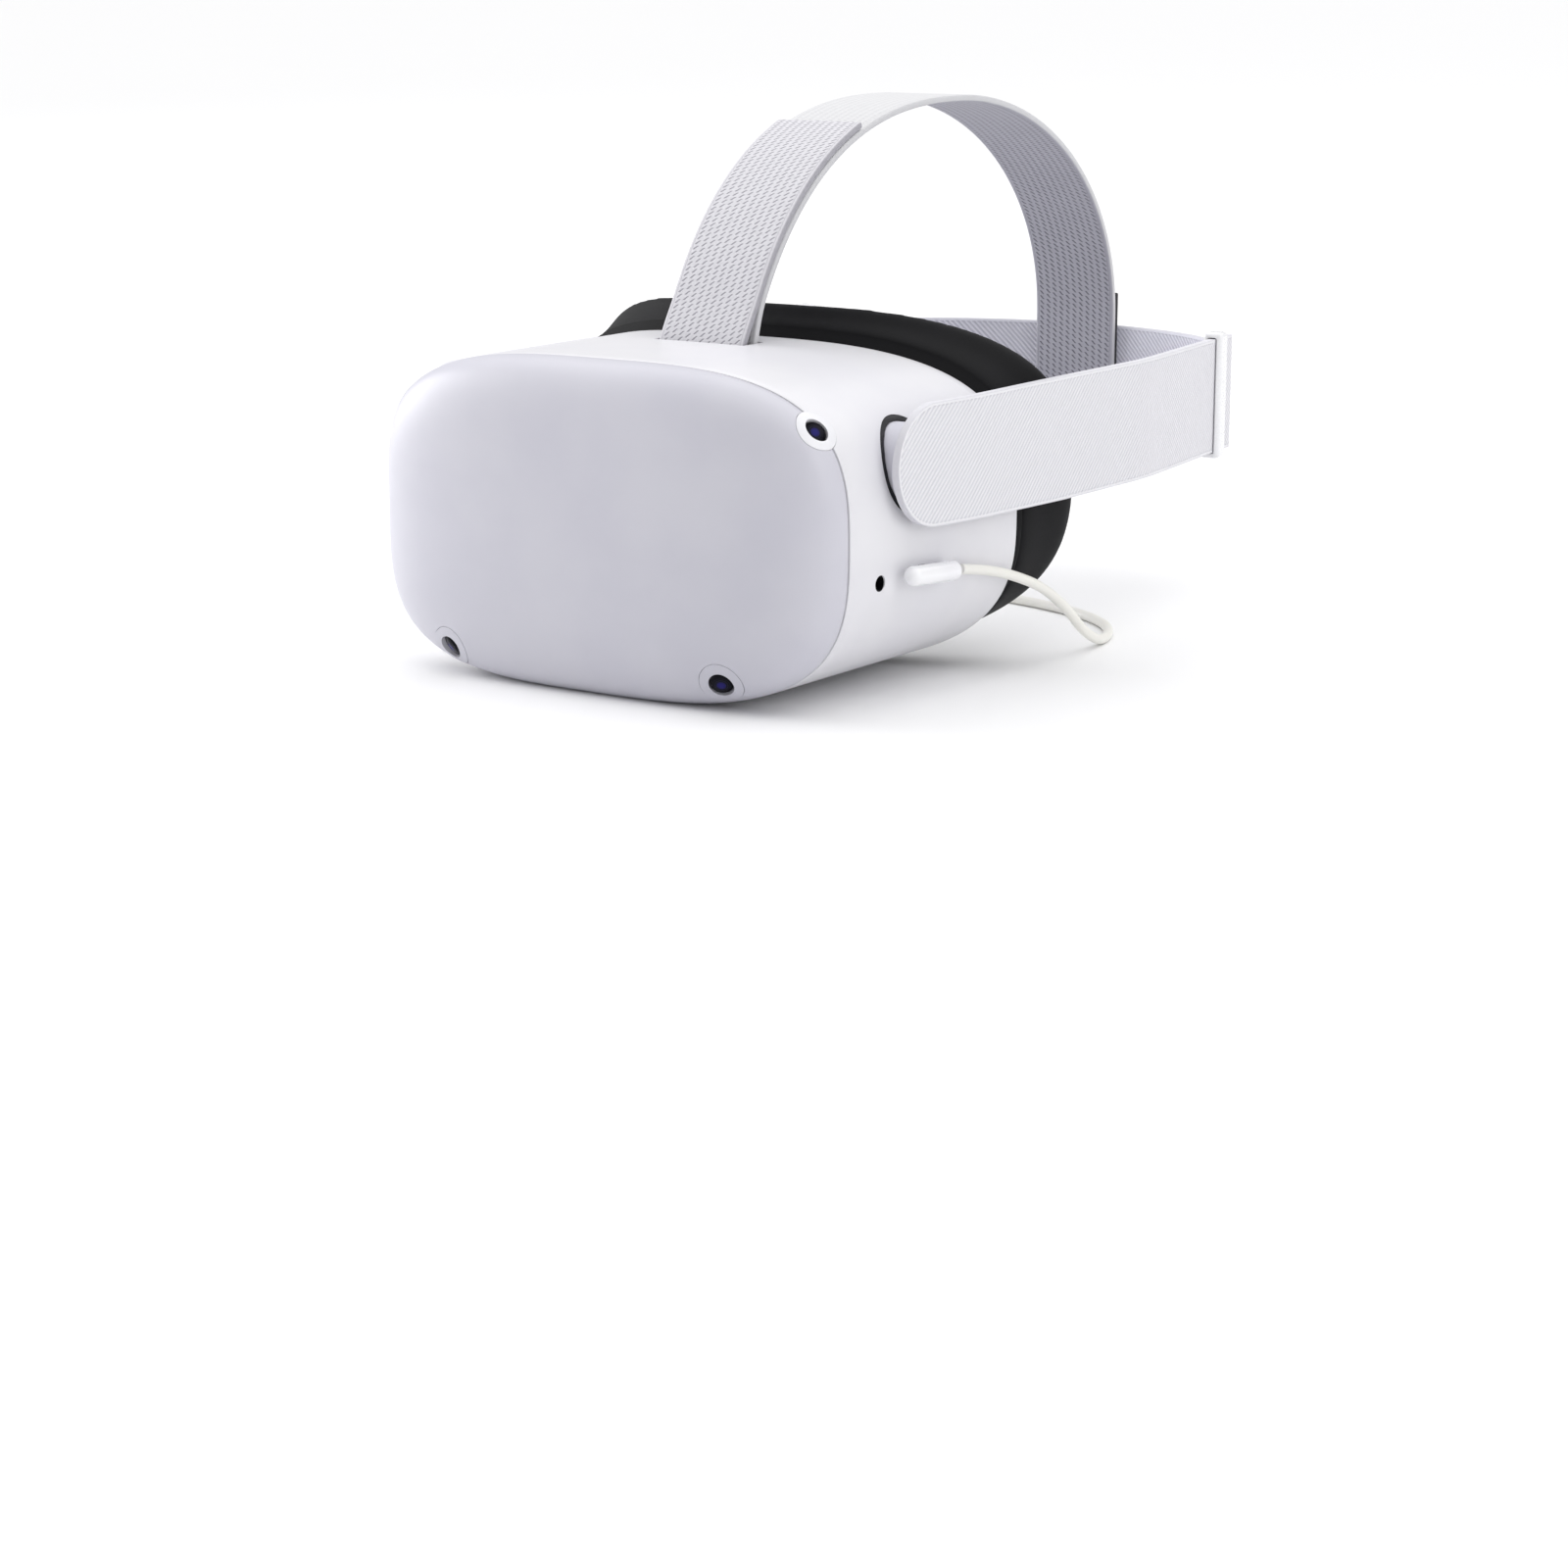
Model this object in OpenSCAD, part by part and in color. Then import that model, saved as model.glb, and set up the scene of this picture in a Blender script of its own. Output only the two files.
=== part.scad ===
// Head-worn viewer: curved visor with tracking cameras, soft face interface, two side straps on
// tilting arms, a rear strap, a top strap with a folded tail, and a plugged-in charging cord.
// Millimetres. The front faces -Y, +X is the wearer's left, +Z is up, and z = 0 is the base.

/* [Visor] */
// Half width of the visor at the seam between the cover and the housing
cover_half_w = 78.8; // [70:0.1:90]
// Half height of the visor at the seam
cover_half_h = 47.4; // [40:0.1:55]
// How far the front cover bulges ahead of the seam
cover_depth = 20.4; // [12:0.1:30]
// Half width of the visor at its rear rim
rim_half_w = 83.9; // [75:0.1:95]
// Distance from the seam to the rear rim, on the centre line
housing_len = 69.7; // [50:0.1:90]
// Wall of the cover and housing
wall = 2.2; // [1.5:0.1:3]
// Width of the shadow line between cover and housing
seam_gap = 0.6; // [0.3:0.1:1.2]

/* [Face interface] */
// Half width of the face cushion where it meets the face
cushion_half_w = 84.7; // [75:0.1:90]
// Half height of the face cushion where it meets the face
cushion_half_h = 50.2; // [45:0.1:58]
// Width of the cushion's pad, across
pad_w = 13; // [8:0.5:18]
// Radius of the notch for the nose
nose_r = 19; // [14:0.5:24]

/* [Optics] */
// Distance between the two lens centres
lens_spacing = 63; // [58:0.5:70]
// Outside radius of a lens barrel
barrel_r = 26; // [22:0.5:27]
// Length of a lens barrel
barrel_len = 36; // [28:1:40]

/* [Cameras] */
// Outside radius of a camera's bezel
bezel_r = 6.4; // [4:0.1:8]
// Radius of a camera's lens
camera_lens_r = 3.4; // [2:0.1:4]

/* [Straps] */
// Height of a side strap
side_strap_h = 36.2; // [25:0.2:42]
// Thickness of a side strap
side_strap_t = 2.3; // [1.5:0.1:4]
// Height of the rear strap
rear_strap_h = 30; // [22:0.5:40]
// Thickness of the rear strap
rear_strap_t = 2.6; // [1.5:0.1:4]
// Width of the top strap
top_strap_w = 30; // [20:0.5:40]
// Thickness of one layer of the top strap
top_strap_t = 2; // [1:0.1:3]

/* [Charging cord] */
// Diameter of the cord
cord_d = 3; // [2.4:0.1:4]

/* [Hidden] */
$fn = 48;
eps = 0.01;
gap = 0.1;                         // working gap between pieces that sit on each other
run = 0.05;                        // radial running clearance of a pin in its bore
ring_n = 56;                       // points round a lofted ring

// A lofted ring: half width, half height, middle z, y, sweep of its sides, sweep of its top, power
seam = [cover_half_w, cover_half_h, 46.8, -31.8, 1.5, -4.2, 3.26];
rim = [rim_half_w, 47.4, 47, seam[3] + housing_len - 3.4, 17, -1, 3.08];
cushion = [cushion_half_w, cushion_half_h, 53.8, 57, 27.5, -12, 3.2];
bulge_power = 2.79;
base_lift = 0.4;
cap_steps = [0.3, 0.55, 0.74, 0.87, 0.95, 0.99, 1];

// Pivot of the arms, straps' sides
pivot = [1, 66.2];                 // y, z
arm_x = [84.2, 85.5];
arm_mid = (arm_x[0] + arm_x[1]) / 2;
side_x = 86.75;                    // middle of a side strap
bend_y = 111.8;
bend_r = 150;
bend_deg = 7.5;
run_len = 66;
side_end_r = side_strap_h / 2 - 1;
side_end = [3, pivot[1] + 0.65];   // middle of its rounded end: y, z
splay = 0.1;                       // slope of the strap's front end towards the visor
splay_y = [8, 32];                 // between which that slope dies away
side_full_y = 70;                  // from where the side strap has its full height
well_r = 13.4;
well_wall = 1.4;
hub_r = 11.7;
arm_plate = [[-13.4, -13], [47, 13]]; // its corners, from the pivot
pin_r = 4;
well_x = 64;

// Rear strap: half width, depth, centre y, power, first and last angle
rear_curve = [77, 61.7, 176, 2.1];
rear_mid_z = 64.8;
rear_from = 16;
slider_back = 12.6;                // from the strap's end to the slider's middle
slider_run = 0.45;

// Top strap: crest, then quarter curves as reach, rise, foot z, power. The front one runs between the layers.
crest_y = 130;
strap_front = [125.27, 139.4, 21.5, 2.44];
strap_rear = [103.6, 76.05, 83.7, 2];
strap_foot_z = 56;
tail_end_deg = 68.5;
foot_deg = 24.53;                  // where the front curve meets the anchor bar
lean = 20.7;                       // of the strap at its foot
layer_off = 1.15;                  // of each layer from the front curve
spread_deg = 9;                    // over which the layers close up
bar_r = 1.6;
slot_side = 0.9;                   // of the strap's slot in the housing, beside the strap
slot_y = [-3.5, 7];                // from the anchor bar
slot_z = [80, 100];
lug_y = 4;
lug_z = [-3, 2.5];                 // from the anchor bar

// Cameras: centre on the skin, azimuth and elevation of the lens axis
upper_cam = [[69.8, -33.4, 78.6], -30, 35];
lower_cam = [[47.8, -46.6, 8.4], -64, -33];
bezel_bore = 3.7;

// Optics
lens_z = 46;
lens_y = [-2, -2 + barrel_len];
rail_y = 8;
rail_dz = 30;
rail_r = 1.5;
rail_half = 61;
lens_travel = 2.5;
plate_y = [27, 29];
sensor_z = 66;
sensor_r = 3;

// Inside the visor: plates as front, back, half width, half height
panel = [-8, -6.4, 58, 34];
board = [-14, -12.4, 57, 33];
spreader = [-18.5, -17, 56, 32];
fin = [1.2, 2.5, 24];              // thickness, depth, height
battery_box = [[-56, 22], [-6, 72]];
battery_y = [-40, -23];
speaker_box = [[55.5, -5.8, 14], [65, 3.8, 30]];
speaker_r = 4;

// Charging port, plug, audio socket
port = [80, 1.5, 36.1];
socket = [76.4, -15.4, 35.4];
socket_r = 1.8;
socket_len = 14;
socket_mouth_r = 2.3;
plug_r = 3.2;
plug_out = 4.8;                     // middle of the plug's body, out from the port
plug_ends = [-10.6, 12.9];         // along the visor's side, from the port
plug_neck = 4.5;
plug_tilt = 4;

// Cord: way from the plug to the coil, coil's centre and its section
cord_way = [[84.8, 18.4, 35], [86, 31, 32.9], [87, 45, 29.2], [87.4, 60, 23.6], [87.8, 73, 16], [87.8, 85, 7],
            [86.6, 97, 2], [83, 109, 1.5], [75, 121, 1.5], [62, 131, 1.5], [46, 138, 1.5], [28, 142.5, 1.5],
            [8, 144.6, 1.5], [-6, 145.2, 1.5], [-18, 145.1, 1.5]];
coil = [-30, 166];
turn_r = [15, 18, 21];             // middles of the three turns that lie side by side
far_plug = [8, 24, 6.4];           // body across, along, high
far_plug_at = [-51, 192];          // middle of its tail end
far_tip = 6.6;
far_neck = 8;

// Buttons and fan
button = [5, 30];                  // y, z on the right side
button_r = 4;
rocker = [36, 4, 5.6];
rocker_size = [16, 5];
rocker_z = [-4.9, 2.1];            // foot and top, from its pivot
fan = [30, -31, 50];
fan_r = 17;

function lerp(a, b, t) = a + (b - a) * t;
function spow(v, e) = sign(v) * pow(abs(v), e);
function ring_at(r, d) = let (c = spow(cos(d), 2 / r[6]), s = spow(sin(d), 2 / r[6]))
    [r[0] * c, r[3] + r[4] * c * c + r[5] * s * s, max(r[2] + r[1] * s, 0)];
function ring(r) = [for (i = [0:ring_n - 1]) ring_at(r, 360 * i / ring_n)];
// A ring pulled in by an inset and moved back by dy
function inset(r, by, dy = 0) = [r[0] - by, r[1] - by, r[2] , r[3] + dy, r[4], r[5], r[6]];
function lofted(a, b, t) = [for (i = [0:6]) lerp(a[i], b[i], t)];
// An inner ring, raised so that the wall is kept at the flat base
function lift(r) = [r[0], r[1] - base_lift, r[2] + base_lift, r[3], r[4], r[5], r[6]];
// A ring of the bulged cover, t = 1 at the seam and 0 at the middle
function cap_ring(r, depth, t) = [for (i = [0:ring_n - 1])
    let (d = 360 * i / ring_n, c = t * spow(cos(d), 2 / r[6]), s = t * spow(sin(d), 2 / r[6]),
         y = r[3] - depth * pow(1 - pow(t, bulge_power), 1 / bulge_power))
    [r[0] * c, y + r[4] * c * c + r[5] * s * s, max(r[2] + r[1] * s, 0)]];
function flat_list(v) = [for (a = v) for (b = a) b];
function quad_faces(i, j, n) = [for (k = [0:n - 1]) let (l = (k + 1) % n)
    each [[i * n + k, j * n + l, i * n + l], [i * n + k, j * n + k, j * n + l]]];

// Superellipse outline in a plane, as a polygon
function oval(hw, hh, power, n = ring_n) = [for (i = [0:n - 1]) let (d = 360 * i / n)
    [hw * spow(cos(d), 2 / power), hh * spow(sin(d), 2 / power)]];

// A band of thickness t whose middle follows the points p
function normal_at(p, i) = let (a = p[max(i - 1, 0)], b = p[min(i + 1, len(p) - 1)], d = b - a)
    [-d[1], d[0]] / norm(d);
function band(p, t) = concat([for (i = [0:len(p) - 1]) p[i] + normal_at(p, i) * t / 2],
    [for (i = [len(p) - 1:-1:0]) p[i] - normal_at(p, i) * t / 2]);

// Middle line of the left side strap, seen from above
function bend_point(a) = [side_x - bend_r * (1 - cos(a)), bend_y + bend_r * sin(a)];
function splayed(y) = let (u = min(max(splay_y[1] - y, 0), splay_y[1] - splay_y[0]))
    splay * (u * u / 2 / (splay_y[1] - splay_y[0]) + max(splay_y[0] - y, 0));
function front_line(x, y0, y1) = [for (y = [y0, 0, 4, 8, 14, 20, 26, 32, y1]) [x - splayed(y), y]];
function side_line() = concat(front_line(side_x, side_end[0] - side_end_r, bend_y - 1),
    [for (a = [0:1.5:bend_deg]) bend_point(a)],
    [bend_point(bend_deg) + run_len * [-sin(bend_deg), cos(bend_deg)]]);
// Middle line of the rear strap, seen from above
function rear_line() = [for (d = [rear_from:(90 - rear_from) / 14:180 - rear_from + eps])
    [rear_curve[0] * spow(cos(d), 2 / rear_curve[3]), rear_curve[2] + rear_curve[1] * pow(sin(d), 2 / rear_curve[3])]];
// Quarter curve of the top strap in the y-z plane: side is -1 ahead of the crest and 1 behind
function crown(q, d, side) = [crest_y + side * q[0] * pow(cos(d), 2 / q[3]), q[2] + q[1] * pow(sin(d), 2 / q[3])];

// ---- general shapes ----
module skin_loop(rings) {
    m = len(rings);
    polyhedron(flat_list(rings), [for (i = [0:m - 1]) each quad_faces(i, (i + 1) % m, ring_n)]);
}
module skin_solid(rings, tip, tail) {
    m = len(rings);
    polyhedron(concat(flat_list(rings), [tip, tail]), concat(
        [for (i = [0:m - 2]) each quad_faces(i, i + 1, ring_n)],
        [for (k = [0:ring_n - 1]) [k, (k + 1) % ring_n, m * ring_n]],
        [for (k = [0:ring_n - 1]) [(m - 1) * ring_n + (k + 1) % ring_n, (m - 1) * ring_n + k, m * ring_n + 1]]));
}
module along_x(x0, x1, r, yz) translate([x0, yz[0], yz[1]]) rotate([0, 90, 0]) cylinder(r = r, h = x1 - x0);
module along_y(y0, y1, r, xz) translate([xz[0], y1, xz[1]]) rotate([90, 0, 0]) cylinder(r = r, h = y1 - y0);
module slab_y(y0, y1) translate([0, y1, 0]) rotate([90, 0, 0]) linear_extrude(y1 - y0) children();
module slab_x(x0, x1) translate([x0, 0, 0]) rotate([90, 0, 90]) linear_extrude(x1 - x0) children();
module box(a, b) translate(a) cube(b - a);
module rounded(a, b, r) translate([a[0] + r, a[1] + r]) offset(r) square([b[0] - a[0] - 2 * r, b[1] - a[1] - 2 * r]);
module at_camera(c) translate(c[0]) rotate([0, 90 - c[2], c[1]]) children();
module right() mirror([1, 0, 0]) children();
module both() { children(); right() children(); }

// ---- visor shell ----
module visor_solid() {
    skin_solid([for (t = [0, 0.34, 0.67, 1]) ring(lofted(seam, rim, t))],
        [0, seam[3] + seam[5], seam[2]], [0, rim[3], rim[2]]);
}
module camera_holes() both() {
    at_camera(upper_cam) cylinder(r = bezel_r + gap, h = 40, center = true);
    at_camera(lower_cam) cylinder(r = bezel_r + gap, h = 24, center = true);
}
module front_cover() color([0.93, 0.93, 0.95]) difference() {
    skin_solid(concat([for (t = cap_steps) cap_ring(seam, cover_depth, t)],
        [for (i = [len(cap_steps) - 1:-1:0]) cap_ring(inset(seam, wall), cover_depth - wall, cap_steps[i])]),
        [0, seam[3] - cover_depth, seam[2]], [0, seam[3] - cover_depth + wall, seam[2]]);
    camera_holes();
}
module main_housing() color([0.9, 0.9, 0.92]) difference() {
    skin_loop(concat([for (t = [0, 0.34, 0.67, 1]) ring(inset(lofted(seam, rim, t), 0, seam_gap * (1 - t)))],
        [for (t = [1, 0.67, 0.34, 0]) ring(lift(inset(lofted(seam, rim, t), wall, seam_gap * (1 - t))))]));
    camera_holes();
    both() along_x(well_x - 2, 100, well_r + gap, pivot);
    along_x(70, 100, socket_mouth_r, [socket[1], socket[2]]);
    translate(port) rotate([-plug_tilt, 0, 0]) slab_x(-8, 8) rounded([-5.2, -2], [5.2, 2], 1.9);
    right() along_x(70, 100, button_r + 0.3, button);
    box([-top_strap_w / 2 - slot_side, bar[0] + slot_y[0], slot_z[0]],
        [top_strap_w / 2 + slot_side, bar[0] + slot_y[1], slot_z[1]]);
    translate([rocker[0], rocker[1], -1]) linear_extrude(12)
        rounded(-rocker_size / 2 - [0.5, 0.5], rocker_size / 2 + [0.5, 0.5], 1.5);
}

module rear_frame() color([0.16, 0.16, 0.17]) difference() {
    union() {
        slab_y(plate_y[0], plate_y[1]) translate([0, 47]) polygon(oval(79.6, 43.8, 3.2));
        both() for (s = [-1, 1])
            box([rail_half - 3, rail_y - 3, lens_z + s * rail_dz - 3], [rail_half, plate_y[0] + eps, lens_z + s * rail_dz + 3]);
    }
    both() slab_y(plate_y[0] - 1, plate_y[1] + 1) translate([lens_spacing / 2, lens_z])
        rounded([-barrel_r - lens_travel - 1, -barrel_r - 1], [barrel_r + lens_travel + 1, barrel_r + 1], barrel_r + 0.9);
    for (s = [-1, 1]) along_x(-rail_half - 1, rail_half + 1, rail_r + run, [rail_y, lens_z + s * rail_dz]);
    slab_y(plate_y[0] - 1, plate_y[1] + 1) circle(nose_r);
    for (p = screw_spots) along_y(plate_y[0] - 1, plate_y[1] + 1, 1.3, p);
    along_y(plate_y[0] - 1, plate_y[1] + 1, sensor_r + gap, [0, sensor_z]);
}
screw_spots = [[-68, 66], [68, 66], [-68, 28], [68, 28]];
module screws() color([0.35, 0.35, 0.37]) for (p = screw_spots) difference() {
    union() {
        along_y(plate_y[0] - 5, plate_y[1] + gap, 1.2, p);
        along_y(plate_y[1] + gap, plate_y[1] + 1.6, 2.4, p);
    }
    along_y(plate_y[1] + 0.7, plate_y[1] + 2, 1, p);
}
module proximity_sensor() color([0.08, 0.08, 0.1]) {
    along_y(plate_y[0] - 3, plate_y[1] + 0.4, sensor_r, [0, sensor_z]);
}

// ---- tracking cameras ----
module bezel(c) at_camera(c) difference() {
    translate([0, 0, -2.8]) cylinder(r = bezel_r, h = 3.2);
    translate([0, 0, -3]) cylinder(r = bezel_bore, h = 4);
    translate([0, 0, -0.1]) cylinder(r1 = bezel_bore, r2 = bezel_bore + 0.6, h = 0.6);
}
module camera_body(c) at_camera(c) translate([0, 0, -13]) cylinder(r = bezel_bore - gap, h = 11.4);
module camera_glass(c) at_camera(c) translate([0, 0, -1.5]) rotate_extrude()
    polygon([[0, 0], [camera_lens_r, 0], for (a = [0:15:90]) [camera_lens_r * cos(a), 0.6 + 0.9 * sin(a)]]);
module left_upper_bezel() color([0.8, 0.8, 0.84]) bezel(upper_cam);
module right_upper_bezel() color([0.8, 0.8, 0.84]) right() bezel(upper_cam);
module left_lower_bezel() color([0.8, 0.8, 0.84]) bezel(lower_cam);
module right_lower_bezel() color([0.8, 0.8, 0.84]) right() bezel(lower_cam);
module left_upper_camera() color([0.1, 0.1, 0.12]) camera_body(upper_cam);
module right_upper_camera() color([0.1, 0.1, 0.12]) right() camera_body(upper_cam);
module left_lower_camera() color([0.1, 0.1, 0.12]) camera_body(lower_cam);
module right_lower_camera() color([0.1, 0.1, 0.12]) right() camera_body(lower_cam);
module left_upper_camera_lens() color([0.05, 0.05, 0.1]) camera_glass(upper_cam);
module right_upper_camera_lens() color([0.05, 0.05, 0.1]) right() camera_glass(upper_cam);
module left_lower_camera_lens() color([0.05, 0.05, 0.1]) camera_glass(lower_cam);
module right_lower_camera_lens() color([0.05, 0.05, 0.1]) right() camera_glass(lower_cam);

// ---- inside the visor ----
module plate(p) slab_y(p[0], p[1]) translate([0, lens_z]) polygon(oval(p[2], p[3], 4, 32));
module display_panel() color([0.05, 0.05, 0.07]) plate(panel);
module main_board() color([0.05, 0.3, 0.15]) plate(board);
module heat_spreader() color([0.7, 0.7, 0.72]) {
    plate(spreader);
    for (x = [-48:6:48]) box([x - fin[0] / 2, spreader[0] - fin[1], lens_z - fin[2] / 2],
        [x + fin[0] / 2, spreader[0] + eps, lens_z + fin[2] / 2]);
}
module battery() color([0.2, 0.2, 0.22]) slab_y(battery_y[0], battery_y[1]) rounded(battery_box[0], battery_box[1], 4);
module fan_housing() color([0.15, 0.15, 0.16]) difference() {
    slab_y(fan[1] - 6, fan[1] + 6) rounded([fan[0] - 22, fan[2] - 22], [fan[0] + 22, fan[2] + 22], 6);
    along_y(fan[1] - 7, fan[1] + 4.5, fan_r + 1, [fan[0], fan[2]]);
    along_y(fan[1], fan[1] + 7, 1.2, [fan[0], fan[2]]);
}
module fan_rotor() color([0.1, 0.1, 0.1]) {
    along_y(fan[1] - 4.5, fan[1] + 3.5, 6.5, [fan[0], fan[2]]);
    along_y(fan[1] + 3, fan[1] + 5.5, 1.15, [fan[0], fan[2]]);
    for (a = [0:40:320]) translate(fan) rotate([0, a, 0]) translate([5.5, -3, -0.5]) cube([fan_r - 5.5, 5, 1]);
}
module speaker() difference() {
    box(speaker_box[0], speaker_box[1]);
    along_x(speaker_box[1][0] - 1, speaker_box[1][0] + 1, speaker_r, [-1, 22]);
}
module left_speaker() color([0.12, 0.12, 0.12]) speaker();
module right_speaker() color([0.12, 0.12, 0.12]) right() speaker();
module usb_port() color([0.7, 0.7, 0.72]) translate(port) rotate([-plug_tilt, 0, 0]) difference() {
    slab_x(-9, -1.5) rounded([-4.9, -1.7], [4.9, 1.7], 1.6);
    slab_x(-8, 0) rounded([-4.5, -1.3], [4.5, 1.3], 1.25);
}
module audio_jack() color([0.1, 0.1, 0.1]) difference() {
    along_x(socket[0] - socket_len - 2, socket[0], 3.3, [socket[1], socket[2]]);
    along_x(socket[0] - socket_len, socket[0] + 1, socket_r, [socket[1], socket[2]]);
}
module power_button() color([0.88, 0.88, 0.9]) right() {
    along_x(75, 81.2, button_r, button);
    along_x(73.6, 75 + eps, button_r + 1.2, button);
}
module volume_rocker() color([0.88, 0.88, 0.9]) translate(rocker) difference() {
    translate([0, 0, rocker_z[0]]) linear_extrude(rocker_z[1] - rocker_z[0])
        rounded(-rocker_size / 2, rocker_size / 2, 1.2);
    translate([0, 4, 0]) rotate([90, 0, 0]) cylinder(r = 1, h = 8);
}

// ---- lens carriers ----
module barrel() difference() {
    union() {
        along_y(lens_y[0], lens_y[1], barrel_r, [lens_spacing / 2, lens_z]);
        for (s = [-1, 1]) box([lens_spacing / 2 - 5, rail_y - 4, lens_z + s * rail_dz - 5],
            [lens_spacing / 2 + 5, rail_y + 4, lens_z + s * rail_dz + 4 + (s < 0 ? 4 : 0)]);
    }
    along_y(lens_y[0] - 1, lens_y[1] + 1, barrel_r - 1.8, [lens_spacing / 2, lens_z]);
    for (s = [-1, 1]) along_x(0, 60, rail_r + run, [rail_y, lens_z + s * rail_dz]);
}
module lens() translate([lens_spacing / 2, 0, lens_z]) rotate([-90, 0, 0]) rotate_extrude()
    polygon([[0, 25.5], for (a = [0:15:90]) [(barrel_r - 1.9) * sin(a), 27.4 - 1.9 * cos(a)],
        for (a = [90:-15:0]) [(barrel_r - 1.9) * sin(a), 29 + 3.6 * cos(a)]]);
module left_lens_barrel() color([0.1, 0.1, 0.11]) barrel();
module right_lens_barrel() color([0.1, 0.1, 0.11]) right() barrel();
module left_lens() color([0.7, 0.75, 0.8, 0.6]) lens();
module right_lens() color([0.7, 0.75, 0.8, 0.6]) right() lens();
module lens_rails() color([0.75, 0.75, 0.77])
    for (s = [-1, 1]) along_x(-rail_half, rail_half, rail_r, [rail_y, lens_z + s * rail_dz]);

// ---- face interface ----
frame_front = inset(rim, 1.2, 0.5);
frame_back = [83, 48.6, 48.9, rim[3] + 4.2, 17.4, -1.8, 3.04];
function grown(r, by, dy, up = 0) = [r[0] + by, r[1] + by, r[2] + up, r[3] + dy, r[4], r[5], r[6]];
nose_z = 1;
flap_y = [35.4, 46];
flap_t = 1.2;
module nose_notch() slab_y(-20, 90) translate([0, nose_z]) circle(nose_r + flap_t + 0.2);
module interface_frame() color([0.1, 0.1, 0.11]) difference() {
    skin_loop([ring(frame_front), ring(frame_back), ring(inset(frame_back, 8)), ring(inset(frame_front, 8))]);
    nose_notch();
}
cushion_root = grown(frame_back, -0.4, 0.2);
module face_cushion() color([0.13, 0.13, 0.14]) difference() {
    skin_loop([ring(cushion_root), ring(lofted(cushion_root, cushion, 0.45)),
        ring(lofted(cushion_root, grown(cushion, 0, -1.5), 0.92)), ring(grown(cushion, -2.2, 0.6)),
        ring(grown(cushion, -pad_w / 2, 1.8)), ring(grown(cushion, 2.2 - pad_w, 0.2)),
        ring(lofted(grown(cushion_root, -9, 0), grown(cushion, -pad_w, -2), 0.9)), ring(grown(cushion_root, -7.6, 0))]);
    nose_notch();
}
module nose_flap() color([0.12, 0.12, 0.13]) intersection() {
    slab_y(flap_y[0], flap_y[1]) translate([0, nose_z]) difference() {
        circle(nose_r + flap_t);
        circle(nose_r);
    }
    box([-2 * nose_r, 0, 0.8], [2 * nose_r, 60, 60]);
}

// ---- arms and straps ----
module arm() difference() {
    union() {
        intersection() {
            along_x(well_x + 3, 100, hub_r, pivot);
            linear_extrude(100) polygon(concat([[0, 50], [0, -20]], front_line(arm_mid, -20, 50)));
        }
        intersection() {
            slab_x(50, 100) rounded(pivot + arm_plate[0], pivot + arm_plate[1], arm_plate[1][1] - gap);
            linear_extrude(100) polygon(band(front_line(arm_mid, -20, 50), arm_x[1] - arm_x[0]));
        }
    }
    along_x(well_x, arm_x[0] - 3, pin_r + run, pivot);
}
module arm_well() difference() {
    intersection() {
        visor_solid();
        along_x(well_x, 100, well_r, pivot);
    }
    along_x(well_x + 2, 100, well_r - well_wall, pivot);
    along_x(well_x - 1, 100, pin_r + run, pivot);
}
module pivot_pin() union() {
    along_x(well_x - 4, arm_x[0] - 4, pin_r, pivot);
    along_x(well_x - 5.5, well_x - gap, pin_r + 3, pivot);
}
module left_arm() color([0.72, 0.72, 0.8]) arm();
module right_arm() color([0.72, 0.72, 0.8]) right() arm();
module left_arm_well() color([0.25, 0.25, 0.28]) arm_well();
module right_arm_well() color([0.25, 0.25, 0.28]) right() arm_well();
module left_pivot_pin() color([0.6, 0.6, 0.62]) pivot_pin();
module right_pivot_pin() color([0.6, 0.6, 0.62]) right() pivot_pin();

module side_strap() intersection() {
    translate([0, 0, pivot[1] - side_strap_h / 2]) linear_extrude(side_strap_h) polygon(band(side_line(), side_strap_t));
    slab_x(50, 100) hull() {
        translate(side_end) circle(side_end_r);
        translate([side_full_y, pivot[1] - side_strap_h / 2]) square([200, side_strap_h]);
    }
}
module left_side_strap() color([0.9, 0.9, 0.91]) side_strap();
module right_side_strap() color([0.9, 0.9, 0.91]) right() side_strap();
module rear_strap() color([0.75, 0.75, 0.8]) translate([0, 0, rear_mid_z - rear_strap_h / 2])
    linear_extrude(rear_strap_h) polygon(band(rear_line(), rear_strap_t));
module slider() translate(slider_spot) rotate([0, 0, bend_deg]) difference() {
    translate([0, 0, -side_strap_h / 2 - 2]) linear_extrude(side_strap_h + 4) rounded([-3.2, -3.4], [3.2, 3.4], 1.6);
    box([-side_strap_t / 2 - slider_run, -6, -side_strap_h / 2 - slider_run],
        [side_strap_t / 2 + slider_run, 6, side_strap_h / 2 + slider_run]);
}
slider_at = bend_point(bend_deg) + (run_len - slider_back) * [-sin(bend_deg), cos(bend_deg)];
slider_spot = [slider_at[0], slider_at[1], pivot[1]];
module left_slider() color([0.95, 0.95, 0.95]) slider();
module right_slider() color([0.95, 0.95, 0.95]) right() slider();

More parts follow.
